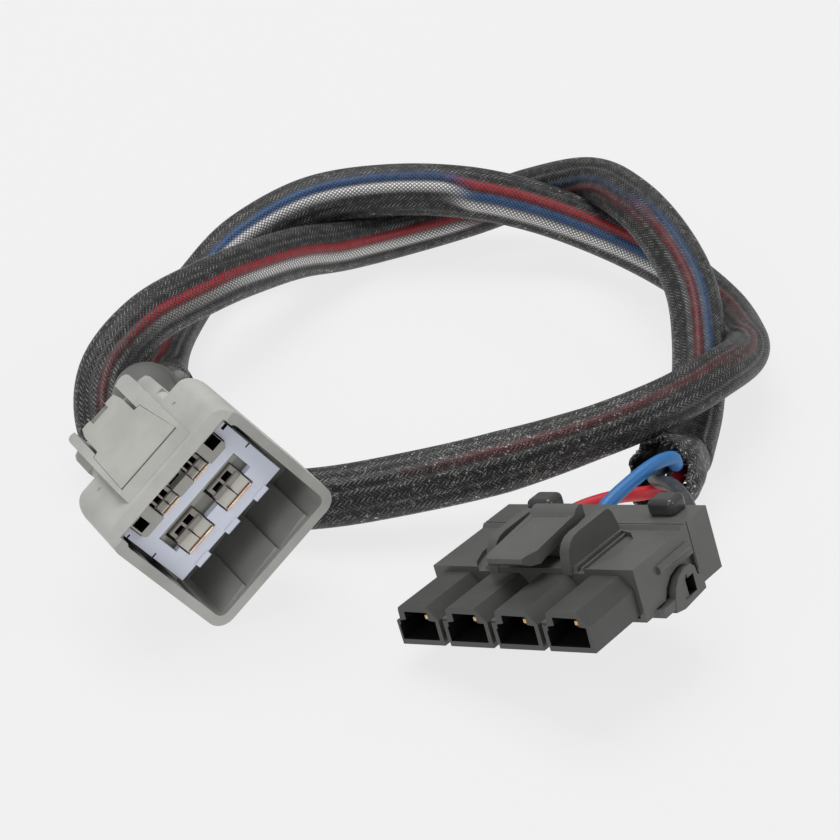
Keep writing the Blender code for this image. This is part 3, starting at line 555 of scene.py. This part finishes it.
def sleeve_cuff():
    """The sleeve's cut end: the mesh flares, folds and frays round the wires.

    It goes out to its ragged rim and back in again, and hairs stand at the rim.
    """
    rows = 34
    random = np.random.default_rng(5)
    start = sleeve_end + MOUTH_AXIS * 0.3
    flare_at, flare = (0.0, 0.3, 0.6, 0.85, 1.0), (5.15, 5.8, 6.8, 7.3, 7.1)
    folds = [
        (random.integers(4, 15), random.uniform(0, math.tau), random.uniform(0.05, 0.16))
        for _ in range(7)
    ]
    rings = np.zeros((rows * 2, SLEEVE_COLUMNS, 3))
    unders = np.zeros((rows * 2, SLEEVE_COLUMNS, 4))
    along = np.zeros(rows * 2)
    angles = ring_angles(SLEEVE_COLUMNS)
    ragged = 0.55 * np.sin(angles * 5 + 1) + 0.4 * np.sin(angles * 11 + 2) + 0.3 * np.sin(angles * 23)
    reach = 12.4 - 1.6 * np.sin(angles) + ragged * 0.6 + 2.4 * np.cos(angles)
    tuck = CUFF_TUCK * np.clip(np.cos(angles), 0, 1)
    way_out = np.outer(np.cos(angles), MOUTH_RIGHT) + np.outer(np.sin(angles), MOUTH_UP)
    for i in range(rows * 2):
        inward = i >= rows
        t = min(i, 2 * rows - 1 - i) / (rows - 1)
        along[i] = (2 - t if inward else t) * 13.0
        radius = np.interp(t, flare_at, flare) * np.ones(SLEEVE_COLUMNS)
        for count, phase, size in folds:
            radius += size * t * np.sin(angles * count + phase + 1.5 * t)
        radius = np.minimum(radius, 7.4) * (1 - tuck * t**3) - (0.5 if inward else 0.0)
        forward = np.outer(reach * t, MOUTH_AXIS)
        rings[i] = np.array(start) + forward + way_out * radius[:, None]
        # Behind the cuff's threads: near black, painted shade inside the flare.
        unders[i, :, :3] = 0.006
        unders[i, :, 3] = 0.2 if inward else 0.55
    mesh = woven_mesh("sleeve_cuff", rings, along, unders, False)
    mesh.materials.append(OPEN_BRAID)
    hairs = bpy.data.curves.new("hairs", "CURVE")
    hairs.dimensions = "3D"
    hairs.bevel_depth = 0.1 * MM
    hairs.bevel_resolution = 1
    for _ in range(HAIRS):
        a = random.uniform(0, math.tau)
        base_h = np.interp(a, angles, reach) - 2.0
        radius = (6.95 + random.uniform(-0.2, 0.1)) * (1 - CUFF_TUCK * max(0.0, math.cos(a)))
        drift = random.uniform(-0.35, 0.35)
        spline = hairs.splines.new("POLY")
        spline.points.add(4)
        for j in range(5):
            t = j / 4
            angle = a + drift * t
            r = radius + random.uniform(-0.15, 0.1) - 0.5 * t * t
            out = MOUTH_RIGHT * math.cos(angle) + MOUTH_UP * math.sin(angle)
            p = start + MOUTH_AXIS * (base_h + 2.8 * t) + out * r
            spline.points[j].co = (*(p * MM), 1)
    hair_obj = make("hairs", hairs)
    hair_mesh = evaluated_mesh(hair_obj)
    drop(hair_obj)
    hair_mesh.materials.clear()
    hair_mesh.materials.append(FILAMENT)
    fray = make("sleeve_fray", hair_mesh)
    obj = make("sleeve_cuff", mesh)
    for piece in (obj, fray):
        claim(piece, "sleeve_mouth")


sleeve_cuff()


def round_tube(name, points, radii, columns=20):
    """A round tube along points, with a radius at each of them."""
    to_eye, across = frames(points)
    angles = ring_angles(columns)[None, :, None]
    ring = np.cos(angles) * to_eye[:, None] + np.sin(angles) * across[:, None]
    mesh = tube_mesh(name, points[:, None] + ring * radii[:, None, None])
    smooth(mesh, 60.0)
    return mesh


def socket_x(i):
    """How far across the plug its socket is."""
    return (i - 1.5) * SOCKET_PITCH


def wire_tails():
    """The wires' bare runs, each from its hole in the plug into the sleeve's open end."""
    for i, (colour, (route, (across, rise), look)) in enumerate(WIRES.items()):
        name = "wire_" + colour
        hole = [PLUG @ (Vector((socket_x(i), y, SOCKET_Z)) * MM) / MM for y in (29.6, PLUG_REAR)]
        entry = sleeve_end + MOUTH_RIGHT * across + MOUTH_UP * rise
        line = catmull([*hole, *in_row(route), entry + MOUTH_AXIS * 7, entry + MOUTH_AXIS * 0.5], 10)
        points, along = resample(line, 0.8)
        mesh = round_tube(name, points, np.full(len(points), WIRE_D / 2))
        obj = make(name + "_insulation", mesh)
        mesh.materials.append(look)
        claim(obj, name)


wire_tails()


def collar():
    """The heat-shrink collar that bends from the connector's seal to the sleeve."""
    rear, behind, straight = (
        VEHICLE @ (Vector((0, SHELL_REAR + y, SEAL_Z)) * MM) / MM for y in (0.3, 1.8, 7.0)
    )
    line = catmull(in_row(ROUTE), 2)
    end, lead_in = line[0], (line[1] - line[0]).normalized()
    stop = end - lead_in * 0.3
    route = [behind, straight, stop - lead_in * 6, stop - lead_in * 1.5]
    points, along = resample([rear, *catmull(route, 10), stop], 0.6)
    edge = np.minimum(along, along[-1] - along)
    radii = 5.7 - 0.35 * np.clip(1 - edge / 1.2, 0, 1) ** 2 + 0.06 * np.sin(along / 1.7)
    obj = make("collar", round_tube("collar", points, radii, 40))
    obj.data.materials.append(SHRINK)
    claim(obj, "heat_shrink_collar")


collar()

# --- solids, in a connector's own millimetres ------------------------------------


def solid(name, points, faces, look=None):
    """An object of the given faces, all turned outward."""
    mesh = bpy.data.meshes.new(name)
    mesh.from_pydata(points, [], faces)
    shape = bmesh.new()
    shape.from_mesh(mesh)
    bmesh.ops.recalc_face_normals(shape, faces=shape.faces)
    shape.to_mesh(mesh)
    shape.free()
    if look:
        mesh.materials.append(look)
    return make(name, mesh)


def prism_faces(n):
    """The two ends and the sides of a solid between two outlines of n points."""
    ends = [tuple(range(n)), tuple(range(2 * n - 1, n - 1, -1))]
    return ends + [(i, (i + 1) % n, n + (i + 1) % n, n + i) for i in range(n)]


def prism(axis, span, outline, look=None):
    """An outline carried along an axis. It is in YZ for X, XZ for Y and XY for Z."""
    place = {
        "X": lambda a, b, c: (c, a, b), "Y": lambda a, b, c: (a, c, b),
        "Z": lambda a, b, c: (a, b, c),
    }[axis]
    points = [place(a, b, c) for c in span for a, b in outline]
    return solid("prism", points, prism_faces(len(outline)), look)


def block(low, high, look=None):
    """A box between two corners."""
    (x, y, z), (p, q, r) = low, high
    return prism("Z", (z, r), ((x, y), (p, y), (p, q), (x, q)), look)


def rod(start, end, radius, look=None, sides=24):
    """A round bar between two points."""
    start, end = Vector(start), Vector(end)
    side = (end - start).orthogonal().normalized()
    other = (end - start).normalized().cross(side)
    turns = [math.tau * i / sides for i in range(sides)]
    points = [
        tuple(at + side * radius * math.cos(a) + other * radius * math.sin(a))
        for at in (start, end) for a in turns
    ]
    return solid("rod", points, prism_faces(sides), look)


def round_box(low, high, radius, steps=4):
    """The outline of a rectangle with round corners."""
    corners = (
        (high[0] - radius, high[1] - radius, 0), (low[0] + radius, high[1] - radius, 90),
        (low[0] + radius, low[1] + radius, 180), (high[0] - radius, low[1] + radius, 270),
    )
    points = []
    for x, y, first in corners:
        for i in range(steps + 1):
            a = math.radians(first + 90 * i / steps)
            points.append((x + radius * math.cos(a), y + radius * math.sin(a)))
    return points


def carve(base, *steps):
    """Joins, cuts or keeps the overlap of the base with other solids, in turn."""
    for operation, others in steps:
        for other in others:
            step = base.modifiers.new("step", "BOOLEAN")
            step.operation = {"join": "UNION", "cut": "DIFFERENCE", "keep": "INTERSECT"}[operation]
            step.solver = "EXACT"
            step.material_mode = "TRANSFER"
            step.object = other
    mesh = evaluated_mesh(base)
    drop(base, *[other for _, others in steps for other in others])
    return make("carved", mesh)


def weigh(obj):
    """Keeps flat faces flat where smooth shading runs into them."""
    weighted = obj.modifiers.new("weighted", "WEIGHTED_NORMAL")
    weighted.keep_sharp = True
    mesh = evaluated_mesh(obj)
    drop(obj)
    return make("weighed", mesh)


def soften(obj, width, segments=2):
    """Rounds an object's edges and shades it smoothly across them."""
    flat = obj.modifiers.new("flat", "DECIMATE")
    flat.decimate_type = "DISSOLVE"
    flat.angle_limit = math.radians(1.5)
    flat.delimit = {"MATERIAL"}
    bevel = obj.modifiers.new("bevel", "BEVEL")
    bevel.width = width
    bevel.segments = segments
    bevel.limit_method = "ANGLE"
    bevel.angle_limit = math.radians(30.0)
    bevel.miter_outer = "MITER_ARC"
    mesh = evaluated_mesh(obj)
    drop(obj)
    smooth(mesh, 50.0)
    return weigh(make("soft", mesh))


def merge(*objs):
    """One object made of several, each left as it is."""
    looks = []
    shape = bmesh.new()
    for obj in objs:
        index = []
        for look in obj.data.materials:
            if look not in looks:
                looks.append(look)
            index.append(looks.index(look))
        before = len(shape.faces)
        shape.from_mesh(obj.data)
        shape.faces.ensure_lookup_table()
        for face in shape.faces[before:]:
            face.material_index = index[min(face.material_index, len(index) - 1)]
    mesh = bpy.data.meshes.new("merged")
    shape.to_mesh(mesh)
    shape.free()
    for look in looks:
        mesh.materials.append(look)
    drop(*objs)
    smooth(mesh, 50.0)
    return weigh(make("merged", mesh))


def fit(obj, name, matrix, body, node):
    """Puts a finished piece on its connector, in place of its CAD node."""
    obj.name = name
    obj.data.name = name
    obj.data.transform(matrix @ Matrix.Scale(MM, 4))
    claim(obj, node, body)


# --- the grey vehicle connector --------------------------------------------------


POWER_X = (-4.95, 4.4)


def grey_shell():
    """The shell: a round mouth, a narrower rear body and, on top, the latch's rails."""
    # dark is grey in painted shade: the walls, teeth and grooves inside the mouth, the bay and the exit
    # hole.
    inner, dark = GREY_INNER, GREY_CAVITY_SHADE
    base = prism("Y", (0, 15.2), round_box((-14.8, -15.1), (14.7, 13.9), 3.0, 6), GREY_SHELL)
    plan = prism("Z", (-20, 20), round_box((-14.8, -9), (14.7, 15.2), 2.9, 6))
    slope = prism("X", (-16, 16), ((-1, 11.5), (3, 14.7), (-1, 14.7)))
    body = prism("Y", (14.1, SHELL_REAR), round_box((-9.3, -9.8), (9.3, 12.4), 1.6), GREY_SHELL)
    roof = prism(
        "Z", (10.9, 12.4),
        ((-9.3, 20), (9.3, 20), (9.3, 24.9), (8.9, 26.2), (7.9, 26.8), (-7.9, 26.8), (-8.9, 26.2),
         (-9.3, 24.9)), GREY_SHELL,
    )
    hump = prism(
        "Z", (11.3, 15.2),
        ((-7.6, 3.0), (7.2, 3.0), (7.2, 25.9), (6.9, 26.7), (6.2, 27.2), (5.3, 27.3), (4.6, 26.9),
         (-6.2, 26.9), (-6.9, 27.1), (-7.5, 26.7), (-7.7, 25.9)), GREY_SHELL,
    )
    ramp = prism("X", (-14, 14), ((2, 13.93), (3.0, 13.93), (4.85, 15.2), (4.85, 16.5), (2, 16.5)))
    trough = prism(
        "Z", (12.1, 16.0),
        ((-6.82, 4.95), (6.42, 4.95), (4.94, 17.55), (4.26, 17.72), (4.26, 28), (-6.0, 28), (-6.0, 17.72),
         (-6.57, 17.55)), GREY_SHELL,
    )
    cavity = prism("Y", (-1, 13.8), round_box((-13.0, -13.3), (13.0, 11.3), 1.4, 3), dark)
    bay = block((-7.9, 9.0, -8.4), (7.9, 23.4, 10.7), dark)
    exit_hole = rod((0, 22, SEAL_Z), (0, 26, SEAL_Z), 5.0, dark)
    # The top wall's inner front is set back, level with an ear of the moulding at each side.
    recess = block((-12.5, -1, 7.0), (12.5, 2.0, 12.6), inner)
    groove = block((-6.8, 4.95, 12.3), (6.4, 5.33, 16), GREY_SHADE)
    posts = [
        prism("Y", (2.0, 4.7), ((-10.35, 11.5), (-10.35, 8.0), (-9.9, 7.45), (-5.9, 7.45), (-5.9, 11.5)),
              inner),
        prism("Y", (2.0, 4.7), ((5.6, 11.5), (5.6, 7.45), (9.1, 7.45), (9.6, 8.0), (9.6, 11.5)), inner),
        block((-1.6, 2.2, 7.5), (1.8, 4.7, 9.7), inner),
        block((-6, 3.6, 7.5), (6, 4.7, 12.3), inner),
    ]
    # The holes' cut faces are painted shade: near black in the small holes beside and between the signal
    # cavities, grey in the two signal cavities.
    holes = [
        block((-10.0, 0.8, 8.85), (-8.0, 5.5, 11.2), SHADE_BLACK),
        block((7.4, 0.8, 8.95), (9.55, 5.5, 11.35), SHADE_BLACK),
        block((-5.85, 1.0, 7.3), (-1.55, 12.0, 12.1), GREY_SHADE),
        block((1.7, 1.0, 7.3), (5.45, 12.0, 12.1), GREY_SHADE),
        block((-1.3, 1.0, 9.75), (1.1, 6.0, 11.1), SHADE_BLACK),
        block((-2.0, 1.4, 10.7), (2.2, 4.0, 11.25), SHADE_BLACK),
    ]
    dimples = [rod((x, 11.9, 13.78), (x, 11.9, 14.5), 0.42) for x in (-9.6, 8.8)]
    teeth = [
        prism("Y", (0.7, 14.2), outline, dark)
        for outline in (
            ((-13.2, -13.6), (-13.2, -13.2), (-9.2, -12.75), (-6.35, -12.5), (-6.35, -13.6)),
            ((-6.1, -13.6), (-6.1, -13.2), (-2.6, -12.75), (1.8, -12.45), (1.8, -13.6)),
            ((2.1, -13.6), (2.1, -13.2), (5.8, -12.7), (9.0, -12.4), (9.0, -13.6)),
        )
    ]
    grooves = [
        block((side * 13 - 0.5, 0.8, low), (side * 13 + 0.5, 9.5, high), dark)
        for side in (-1, 1) for low, high in ((-1.5, 4.6), (6.2, 10.2), (-8.2, -4.6))
    ]
    base = carve(
        base, ("keep", [plan]), ("join", [body, roof, hump]),
        ("cut", [slope, ramp, trough, groove, cavity, recess, bay, exit_hole]),
        ("join", [*posts, *teeth]), ("cut", [*holes, *dimples, *grooves]),
    )
    return soften(base, 0.22, 3)


def grey_latch():
    """The long release latch, with a thumb step at its free end."""
    panel = prism(
        "Z", (13.8, 15.25),
        ((-6.75, 5.35), (6.35, 5.35), (4.87, 17.4), (4.18, 17.45), (3.62, 17.6), (3.55, 22.9),
         (3.1, 25.4), (1.1, 25.6), (1.0, 26.2), (-2.9, 26.35), (-3.0, 25.7), (-4.7, 25.5),
         (-5.3, 23.4), (-5.45, 17.6), (-5.9, 17.45), (-6.5, 17.3)), GREY_LATCH,
    )
    thumb = prism("X", (-2.75, 0.95), ((24.0, 14.75), (24.25, 14.55), (27, 14.5), (27, 16), (24.0, 16)),
                  GREY_SHADE)
    notch = block((-3.4, 25.5, 14.6), (1.5, 25.9, 16), GREY_LATCH)
    return soften(carve(panel, ("cut", [thumb, notch])), 0.06)


def white_plate():
    """The terminal retainer, with a window, two ports, side nicks and three lower tabs."""
    plate = prism(
        "Y", (3.0, 4.3),
        ((-12.2, -4.3), (12.1, -4.3), (12.1, 10.6), (11.6, 11.0), (9.85, 11.0), (9.85, 7.9),
         (9.3, 7.2), (-10.0, 7.2), (-10.6, 7.9), (-10.6, 11.0), (-11.8, 11.0), (-12.2, 10.6)),
        WHITE_PLATE,
    )
    window = block((-9.1, 2, 0.45), (9.25, 5, 4.85), WHITE_PLATE)
    ports = [block((x - 3.25, 2, -1.95), (x + 3.25, 5, 1.5), WHITE_PLATE) for x in POWER_X]
    # The nicks' cut faces are near black: painted shade.
    nicks = [
        block((-12.6, 2, 3.25), (-11.3, 5, 3.5), SHADE_BLACK),
        block((11.2, 2, 3.7), (12.6, 5, 3.95), SHADE_BLACK),
        block((-12.6, 2, 9.6), (-11.5, 3.4, 9.85), SHADE_BLACK),
        block((11.0, 2, 9.4), (12.6, 3.4, 10.0), SHADE_BLACK),
    ]
    tabs = [
        prism("X", (x - 1.45, x + 1.45), ((2.55, -4.75), (3.0, -5.25), (4.2, -5.0), (4.2, -3.9),
                                          (2.75, -3.9)), WHITE_PLATE)
        for x in (-7.3, -0.1, 7.0)
    ]
    return soften(carve(plate, ("cut", [window, *ports, *nicks]), ("join", tabs)), 0.13)


def carrier_core():
    """The inner block behind the plate, with a bore behind each power terminal."""
    core = block((-12.3, 4.75, -4.1), (12.3, 12.4, 7.3), GREY_INNER)
    floor = block((-9.0, 4.0, 3.1), (9.1, 5.0, 4.7), GREY_INNER)
    bores = [block((x - 3.2, 3, -1.95), (x + 3.2, 12.0, 3.7), GREY_SHADE) for x in POWER_X]
    tail = block((-7.6, 12, -4.0), (7.6, 19, 10.4), GREY_INNER)
    rib = block((-12.0, 3.9, -4.05), (12.0, 5.2, -3.3), GREY_INNER)
    return soften(carve(core, ("join", [floor, tail, rib]), ("cut", bores)), 0.1)


def terminal(x, low, high, half, lip_y, split):
    """A folded blade terminal: slots above, a bright bowed spring below, a copper lip.

    It reaches from low to high and half its width to each side of x. Its lip is at
    lip_y, and split says how far up the spring ends and the slots start.
    """
    tall = high - low

    def box(left, right, y, z, look):
        """A block with its sides as parts of the terminal's half-width."""
        return block((x + half * left, lip_y + y[0], z[0]), (x + half * right, lip_y + y[1], z[1]), look)

    # The slots' and the left end's cut faces are near black: painted shade in the openings.
    slots = [
        box(-0.62, -0.08, (-1, 3), (low + tall * split, high - tall * 0.08), SHADE_BLACK),
        box(0.10, 0.66, (-1, 3), (low + tall * (split + 0.02), high - tall * 0.04), SHADE_BLACK),
        block((x - half - 1, lip_y - 1, low + tall * 0.56), (x - half * 0.86, lip_y + 2, high + 1),
              SHADE_BLACK),
    ]
    case = block((x - half, lip_y + 0.75, low), (x + half, 11.5, high), DULL_TIN)
    case = soften(carve(case, ("cut", slots)), 0.09)
    bow = [
        (lip_y + y, low + z) for y, z in
        ((0.30, 0.30), (0.12, tall * 0.16), (0.10, tall * 0.24), (0.28, tall * (split - 0.28)),
         (0.72, tall * (split - 0.18)), (2.5, tall * (split - 0.16)), (2.5, 0.30))
    ]
    halves = [
        soften(prism("X", span, bow, SPRING), 0.08)
        for span in ((x - half * 0.97, x - 0.07), (x + 0.07, x + half * 0.97))
    ]
    brow = soften(
        box(-0.92, 0.92, (0.45, 1.4), (low + tall * (split - 0.2), low + tall * split), DULL_TIN), 0.08,
    )
    # The slit is a near-black sheet between the spring's halves: painted shade.
    slit = block((x - 0.09, lip_y + 0.2, low + 0.3),
                 (x + 0.09, lip_y + 2.2, low + tall * (split - 0.04)), SHADE_BLACK)
    lip = prism(
        "X", (x - half * 0.93, x + half * 0.93),
        [(lip_y + 0.15 + 0.36 * math.cos(a), low + 0.22 + 0.26 * math.sin(a))
         for a in (math.tau * i / 12 for i in range(12))], COPPER,
    )
    edge = box(-0.9, 0.9, (0.05, 0.9), (low + 0.42, low + 0.62), DARK_COPPER)
    middle = (low + high) / 2
    barrel = rod((x * 0.9, 11.2, middle), (x * 0.9, 18.5, middle), 1.35, DULL_TIN)
    return merge(case, *halves, brow, slit, lip, edge, barrel)


def grey_connector():
    for obj, name, body, node, slot in (
        (grey_shell(), "grey_shell", "root", "vehicle_shell", "grey_shell_plastic"),
        (grey_latch(), "grey_latch", "shell_latch", "shell_latch", "grey_shell_plastic"),
        (white_plate(), "white_plate", "terminal_retainer", "terminal_retainer", "white_plastic"),
        (carrier_core(), "carrier_core", "root", "terminal_carrier", "grey_inner_plastic"),
    ):
        fit(obj, name, VEHICLE, body, node)
    for node, x, low, high, half, lip_y, split in (
        ("power_terminal_left", POWER_X[0], -1.75, 3.55, 3.05, 2.6, 0.7),
        ("power_terminal_right", POWER_X[1], -1.75, 3.55, 3.05, 2.6, 0.7),
        ("signal_terminal_left", -3.7, 7.45, 11.3, 1.95, 2.2, 0.52),
        ("signal_terminal_right", 3.5, 7.45, 11.3, 1.75, 2.2, 0.52),
    ):
        obj = terminal(x, low, high, half, lip_y, split)
        fit(obj, node + "_folded", VEHICLE, "root", node)


grey_connector()

# --- the dark controller plug ----------------------------------------------------


def silo_outline(x, inside=False):
    """A silo's outline round its socket's x, or that of the hole inside it."""
    if inside:
        points = ((-4.0, 1.0), (3.6, 1.0), (3.7, 4.35), (2.45, 4.5), (2.4, 5.9), (-2.3, 6.0),
                  (-2.35, 4.6), (-3.65, 4.4), (-3.7, 3.65), (-4.0, 3.6))
    else:
        points = ((-4.4, 0.1), (4.4, 0.1), (4.45, 4.55), (2.5, 6.95), (-2.9, 7.0), (-3.35, 6.7),
                  (-3.5, 6.2), (-3.55, 4.75), (-4.4, 4.4))
    return [(x + a, z) for a, z in points]


def plug_block():
    """The housing: rear block, four silos, and the guards and pads round the latch."""
    half = PLUG_HALF
    guard = (
        (12.6, 6.8), (27.2, 6.8), (27.0, 9.4), (26.3, 11.6), (25.7, 12.3), (25.0, 12.5), (17.0, 12.5),
        (15.4, 12.3), (14.2, 11.7), (13.3, 10.6), (12.9, 9.2),
    )
    pad = (
        (8.3, 11.9), (10.9, 12.9), (12.3, 14.6), (13.7, 18.3), (13.9, 21.0), (13.0, 24.0),
        (11.2, 26.0), (8.3, 26.9),
    )
    ledge = ((12.9, 6.9), (27.0, 6.9), (27.0, 8.0), (13.4, 8.0))
    low_ledge = ((13.4, 6.9), (26.6, 6.9), (26.6, 7.6), (13.8, 7.6))
    pocket = ((17.6, -4), (28.8, -4), (28.8, 3.1), (23.6, 3.1), (21.6, 2.7), (19.8, 1.4), (18.6, -0.8))
    base = prism(
        "X", (-half, half),
        ((12.8, -1.2), (25.4, -1.2), (26.2, -2.5), (PLUG_REAR, -2.5), (PLUG_REAR, 8.5), (27.6, 8.5),
         (27.0, 7.9), (12.8, 7.9)), DARK,
    )
    front = block((-19.2, 11.0, -0.5), (19.2, 14.6, 4.2), DARK)
    # The silos are a darker copy of the housing's plastic: painted shade.
    silos = [prism("Y", (0, 15.5), silo_outline(socket_x(i)), DARK_SILO_SHADE) for i in range(4)]
    webs = [
        block((x - wide, y, low), (x + wide, 15.0, high), DARK)
        for wide, y, low, high in ((0.75, 0.9, 4.0, 4.55), (0.2, 0.5, 0.6, 4.2))
        for x in (-SOCKET_PITCH, 0, SOCKET_PITCH)
    ]
    guards, pads, ledges, pills = [], [], [], []
    for side in (-1, 1):
        guards.append(prism("X", sorted((side * 6.5, side * 8.3)), guard, DARK))
        pads.append(prism("Z", (7.1, 9.5), [(side * x, y) for x, y in pad], DARK))
        ledges.append(prism("X", sorted((side * 8.0, side * 9.0)), ledge, DARK))
        ledges.append(prism("X", sorted((side * 9.4, side * 9.9)), low_ledge, DARK))
        edge = side * (half - 0.1)
        pills.append(rod((edge, 18.6, 4.95), (edge, 27.6, 4.95), 0.8, DARK, 16))
    places = [socket_x(i) for i in range(4)]
    # The sockets and bores are cut with near-black faces: painted shade inside them.
    sockets = [prism("Y", (-1, 22), silo_outline(x, True), SOCKET_SHADE) for x in places]
    bores = [rod((x, 21, SOCKET_Z), (x, 36, SOCKET_Z), 2.2, SOCKET_SHADE) for x in places]
    scores = [
        block((-half - 1, 27.95, 8.28), (half + 1, 28.2, 9), DARK),
        block((half - 0.12, 28.9, 0.2), (half + 1, 29.15, 8.6), DARK),
        block((-half - 1, 28.9, 0.2), (-half + 0.12, 29.15, 8.6), DARK),
    ]
    pockets = [
        prism("X", sorted((side * (half - 0.75), side * (half + 1))), pocket, DARK) for side in (-1, 1)
    ]
    floor = block((-half - 1, 15.2, -4), (half + 1, 28.9, -0.4), DARK)
    base = carve(
        base, ("cut", [front, *pads]), ("join", [*silos, *webs, *guards, *ledges, *pills]),
        ("cut", [*sockets, *bores, *pockets, floor, *scores]),
    )
    bumps = [
        soften(block((x - 2.6, 30.6, 8.2), (x + 2.6, 35.0, 11.3), DARK_GLOSS), 1.05, 5)
        for x in (-10.2, 14.4)
    ]
    return merge(soften(base, 0.2, 3), *bumps)


def rocking_latch():
    """The latch on its two legs, dished along the middle and cut back at its corners."""
    latch = prism(
        "X", (-4.55, 4.55),
        ((8.0, 10.9), (9.0, 10.1), (10.6, 9.9), (12.0, 10.2), (15.9, 10.5), (16.6, 8.2), (18.2, 8.2),
         (19.0, 10.9), (22.6, 11.5), (24.2, 11.6), (24.2, 13.9), (23.4, 14.1), (22.3, 13.8), (21.5, 13.1),
         (16.0, 12.7), (9.0, 12.1), (8.0, 11.8)), DARK_LATCH,
    )
    right_corner = prism("Z", (9, 14), ((2.6, 7.5), (5.5, 7.5), (5.5, 11.0), (4.55, 10.4)))
    left_corner = prism("Z", (9, 14), ((-3.9, 7.5), (-5.5, 7.5), (-5.5, 9.6), (-4.55, 9.1)))
    dish = prism("X", (-3.5, 3.5), ((10.5, 12.3), (16.0, 12.62), (21.2, 13.0), (21.2, 15), (10.5, 15)))
    return soften(carve(latch, ("cut", [right_corner, left_corner, dish])), 0.16, 3)


def terminal_lock():
    """The position lock: a bar under the housing with a windowed ear at each end."""
    half = PLUG_HALF
    bar = block((-half - 0.9, 16.6, -2.4), (half + 0.9, 28.5, -0.8), DARK)
    ears, windows, lips = [], [], []
    for side in (-1, 1):
        ears.append(prism(
            "X", sorted((side * (half - 0.4), side * (half + 1.0))),
            ((19.4, -2.9), (21.8, -3.4), (28.5, -2.9), (28.5, -0.4), (27.2, 0.2), (26.9, 1.8), (26.0, 2.6),
             (24.4, 2.7), (22.4, 2.1), (20.9, 0.8), (20.0, -1.0)), DARK,
        ))
        # The window through each ear gets near-black faces: painted shade.
        windows.append(block((side * half - 2.0, 24.0, -2.0), (side * half + 2.0, 26.0, 0.9), SOCKET_SHADE))
        windows.append(prism(
            "X", sorted((side * (half + 0.72), side * (half + 2))),
            ((22.6, -2.2), (24.4, -2.2), (24.4, 1.6), (23.3, 1.2), (22.6, 0.0)), DARK,
        ))
    for x in (-12.0, -4.0, 4.0, 12.0):
        lips.append(block((x - 1.6, 17.8, -2.75), (x + 1.6, 27.0, -2.2), DARK))
    return soften(carve(bar, ("join", [*ears, *lips]), ("cut", windows)), 0.14)


def plug_contact(i):
    """A folded brass socket, set back in its silo, with a sprung roof and a crimp."""
    x = socket_x(i)
    case = block((x - 2.1, 5.6, 1.7), (x + 2.0, 21.4, 4.9), BRASS)
    # The opening's faces are near black: painted shade inside the contact.
    opening = block((x - 1.7, 0, 2.1), (x + 1.6, 15, 4.5), SOCKET_SHADE)
    slots = [block((x - 0.15, 5, low), (x + 0.15, 9, low + 1.6)) for low in (1.0, 4.2)]
    case = soften(carve(case, ("cut", [opening, *slots])), 0.12)
    leaf = prism(
        "X", (x + 1.35, x + 2.3),
        ((0.5, 4.6), (0.9, 4.1), (6.5, 4.3), (6.5, 5.2), (0.9, 5.5), (0.5, 5.2)), BRASS,
    )
    barrel = rod((x, 21, SOCKET_Z), (x, 29, SOCKET_Z), 1.65, BRASS)
    return merge(case, soften(leaf, 0.1), barrel)


def dark_plug():
    fit(plug_block(), "plug_block", PLUG, "root", "plug_housing")
    fit(rocking_latch(), "rocking_latch", PLUG, "plug_latch", "plug_latch")
    fit(terminal_lock(), "terminal_lock", PLUG, "plug_lock", "plug_lock")
    for i in range(4):
        node = f"plug_contact_{i + 1}"
        fit(plug_contact(i), node + "_folded", PLUG, "root", node)


dark_plug()

# --- carried-over CAD node -------------------------------------------------------

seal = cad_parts["rear_seal"]
seal.data.materials.clear()
seal.data.materials.append(RUBBER)

# --- stage and light -------------------------------------------------------------


def stage():
    """A pale floor, just under the part, that glows a little so that it looks white."""
    half = 6.0
    corners = [(-half, -half, 0), (half, -half, 0), (half, half, 0), (-half, half, 0)]
    mesh = bpy.data.meshes.new("floor")
    mesh.from_pydata(corners, [], [(0, 1, 2, 3)])
    floor = make("floor", mesh)
    floor.location = (0, 0, -0.3 * MM)
    n = Nodes("pale_floor")
    n.surface("Base Color", rgba((0.10, 0.10, 0.10)))
    n.surface("Roughness", 1.0)
    n.surface("Specular IOR Level", 0.0)
    n.surface("Emission Color", rgba((1.0, 1.0, 1.0)))
    n.surface("Emission Strength", 0.77)
    mesh.materials.append(n.material)


def area_light(name, at, size, power):
    """A round lamp that looks at the row frame's origin."""
    data = bpy.data.lights.new(name, "AREA")
    data.shape = "DISK"
    data.size = size
    data.energy = power
    lamp = make(name, data)
    lamp.location = at
    lamp.rotation_mode = "QUATERNION"
    lamp.rotation_quaternion = (-Vector(at)).to_track_quat("-Z", "Y")


stage()
area_light("overhead", (-0.15, 0.35, 1.2), 1.0, 11.0)
area_light("front", (-0.8, -0.9, 0.9), 0.8, 3.5)
area_light("side", (1.1, -0.2, 0.7), 0.6, 2.5)
world = bpy.data.worlds.new("studio")
world.use_nodes = True
sky = world.node_tree.nodes["Background"].inputs
sky["Color"].default_value = rgba((1.0, 1.0, 1.0))
sky["Strength"].default_value = 0.35
scene.world = world
scene.view_settings.view_transform = "Standard"

bpy.context.view_layer.update()
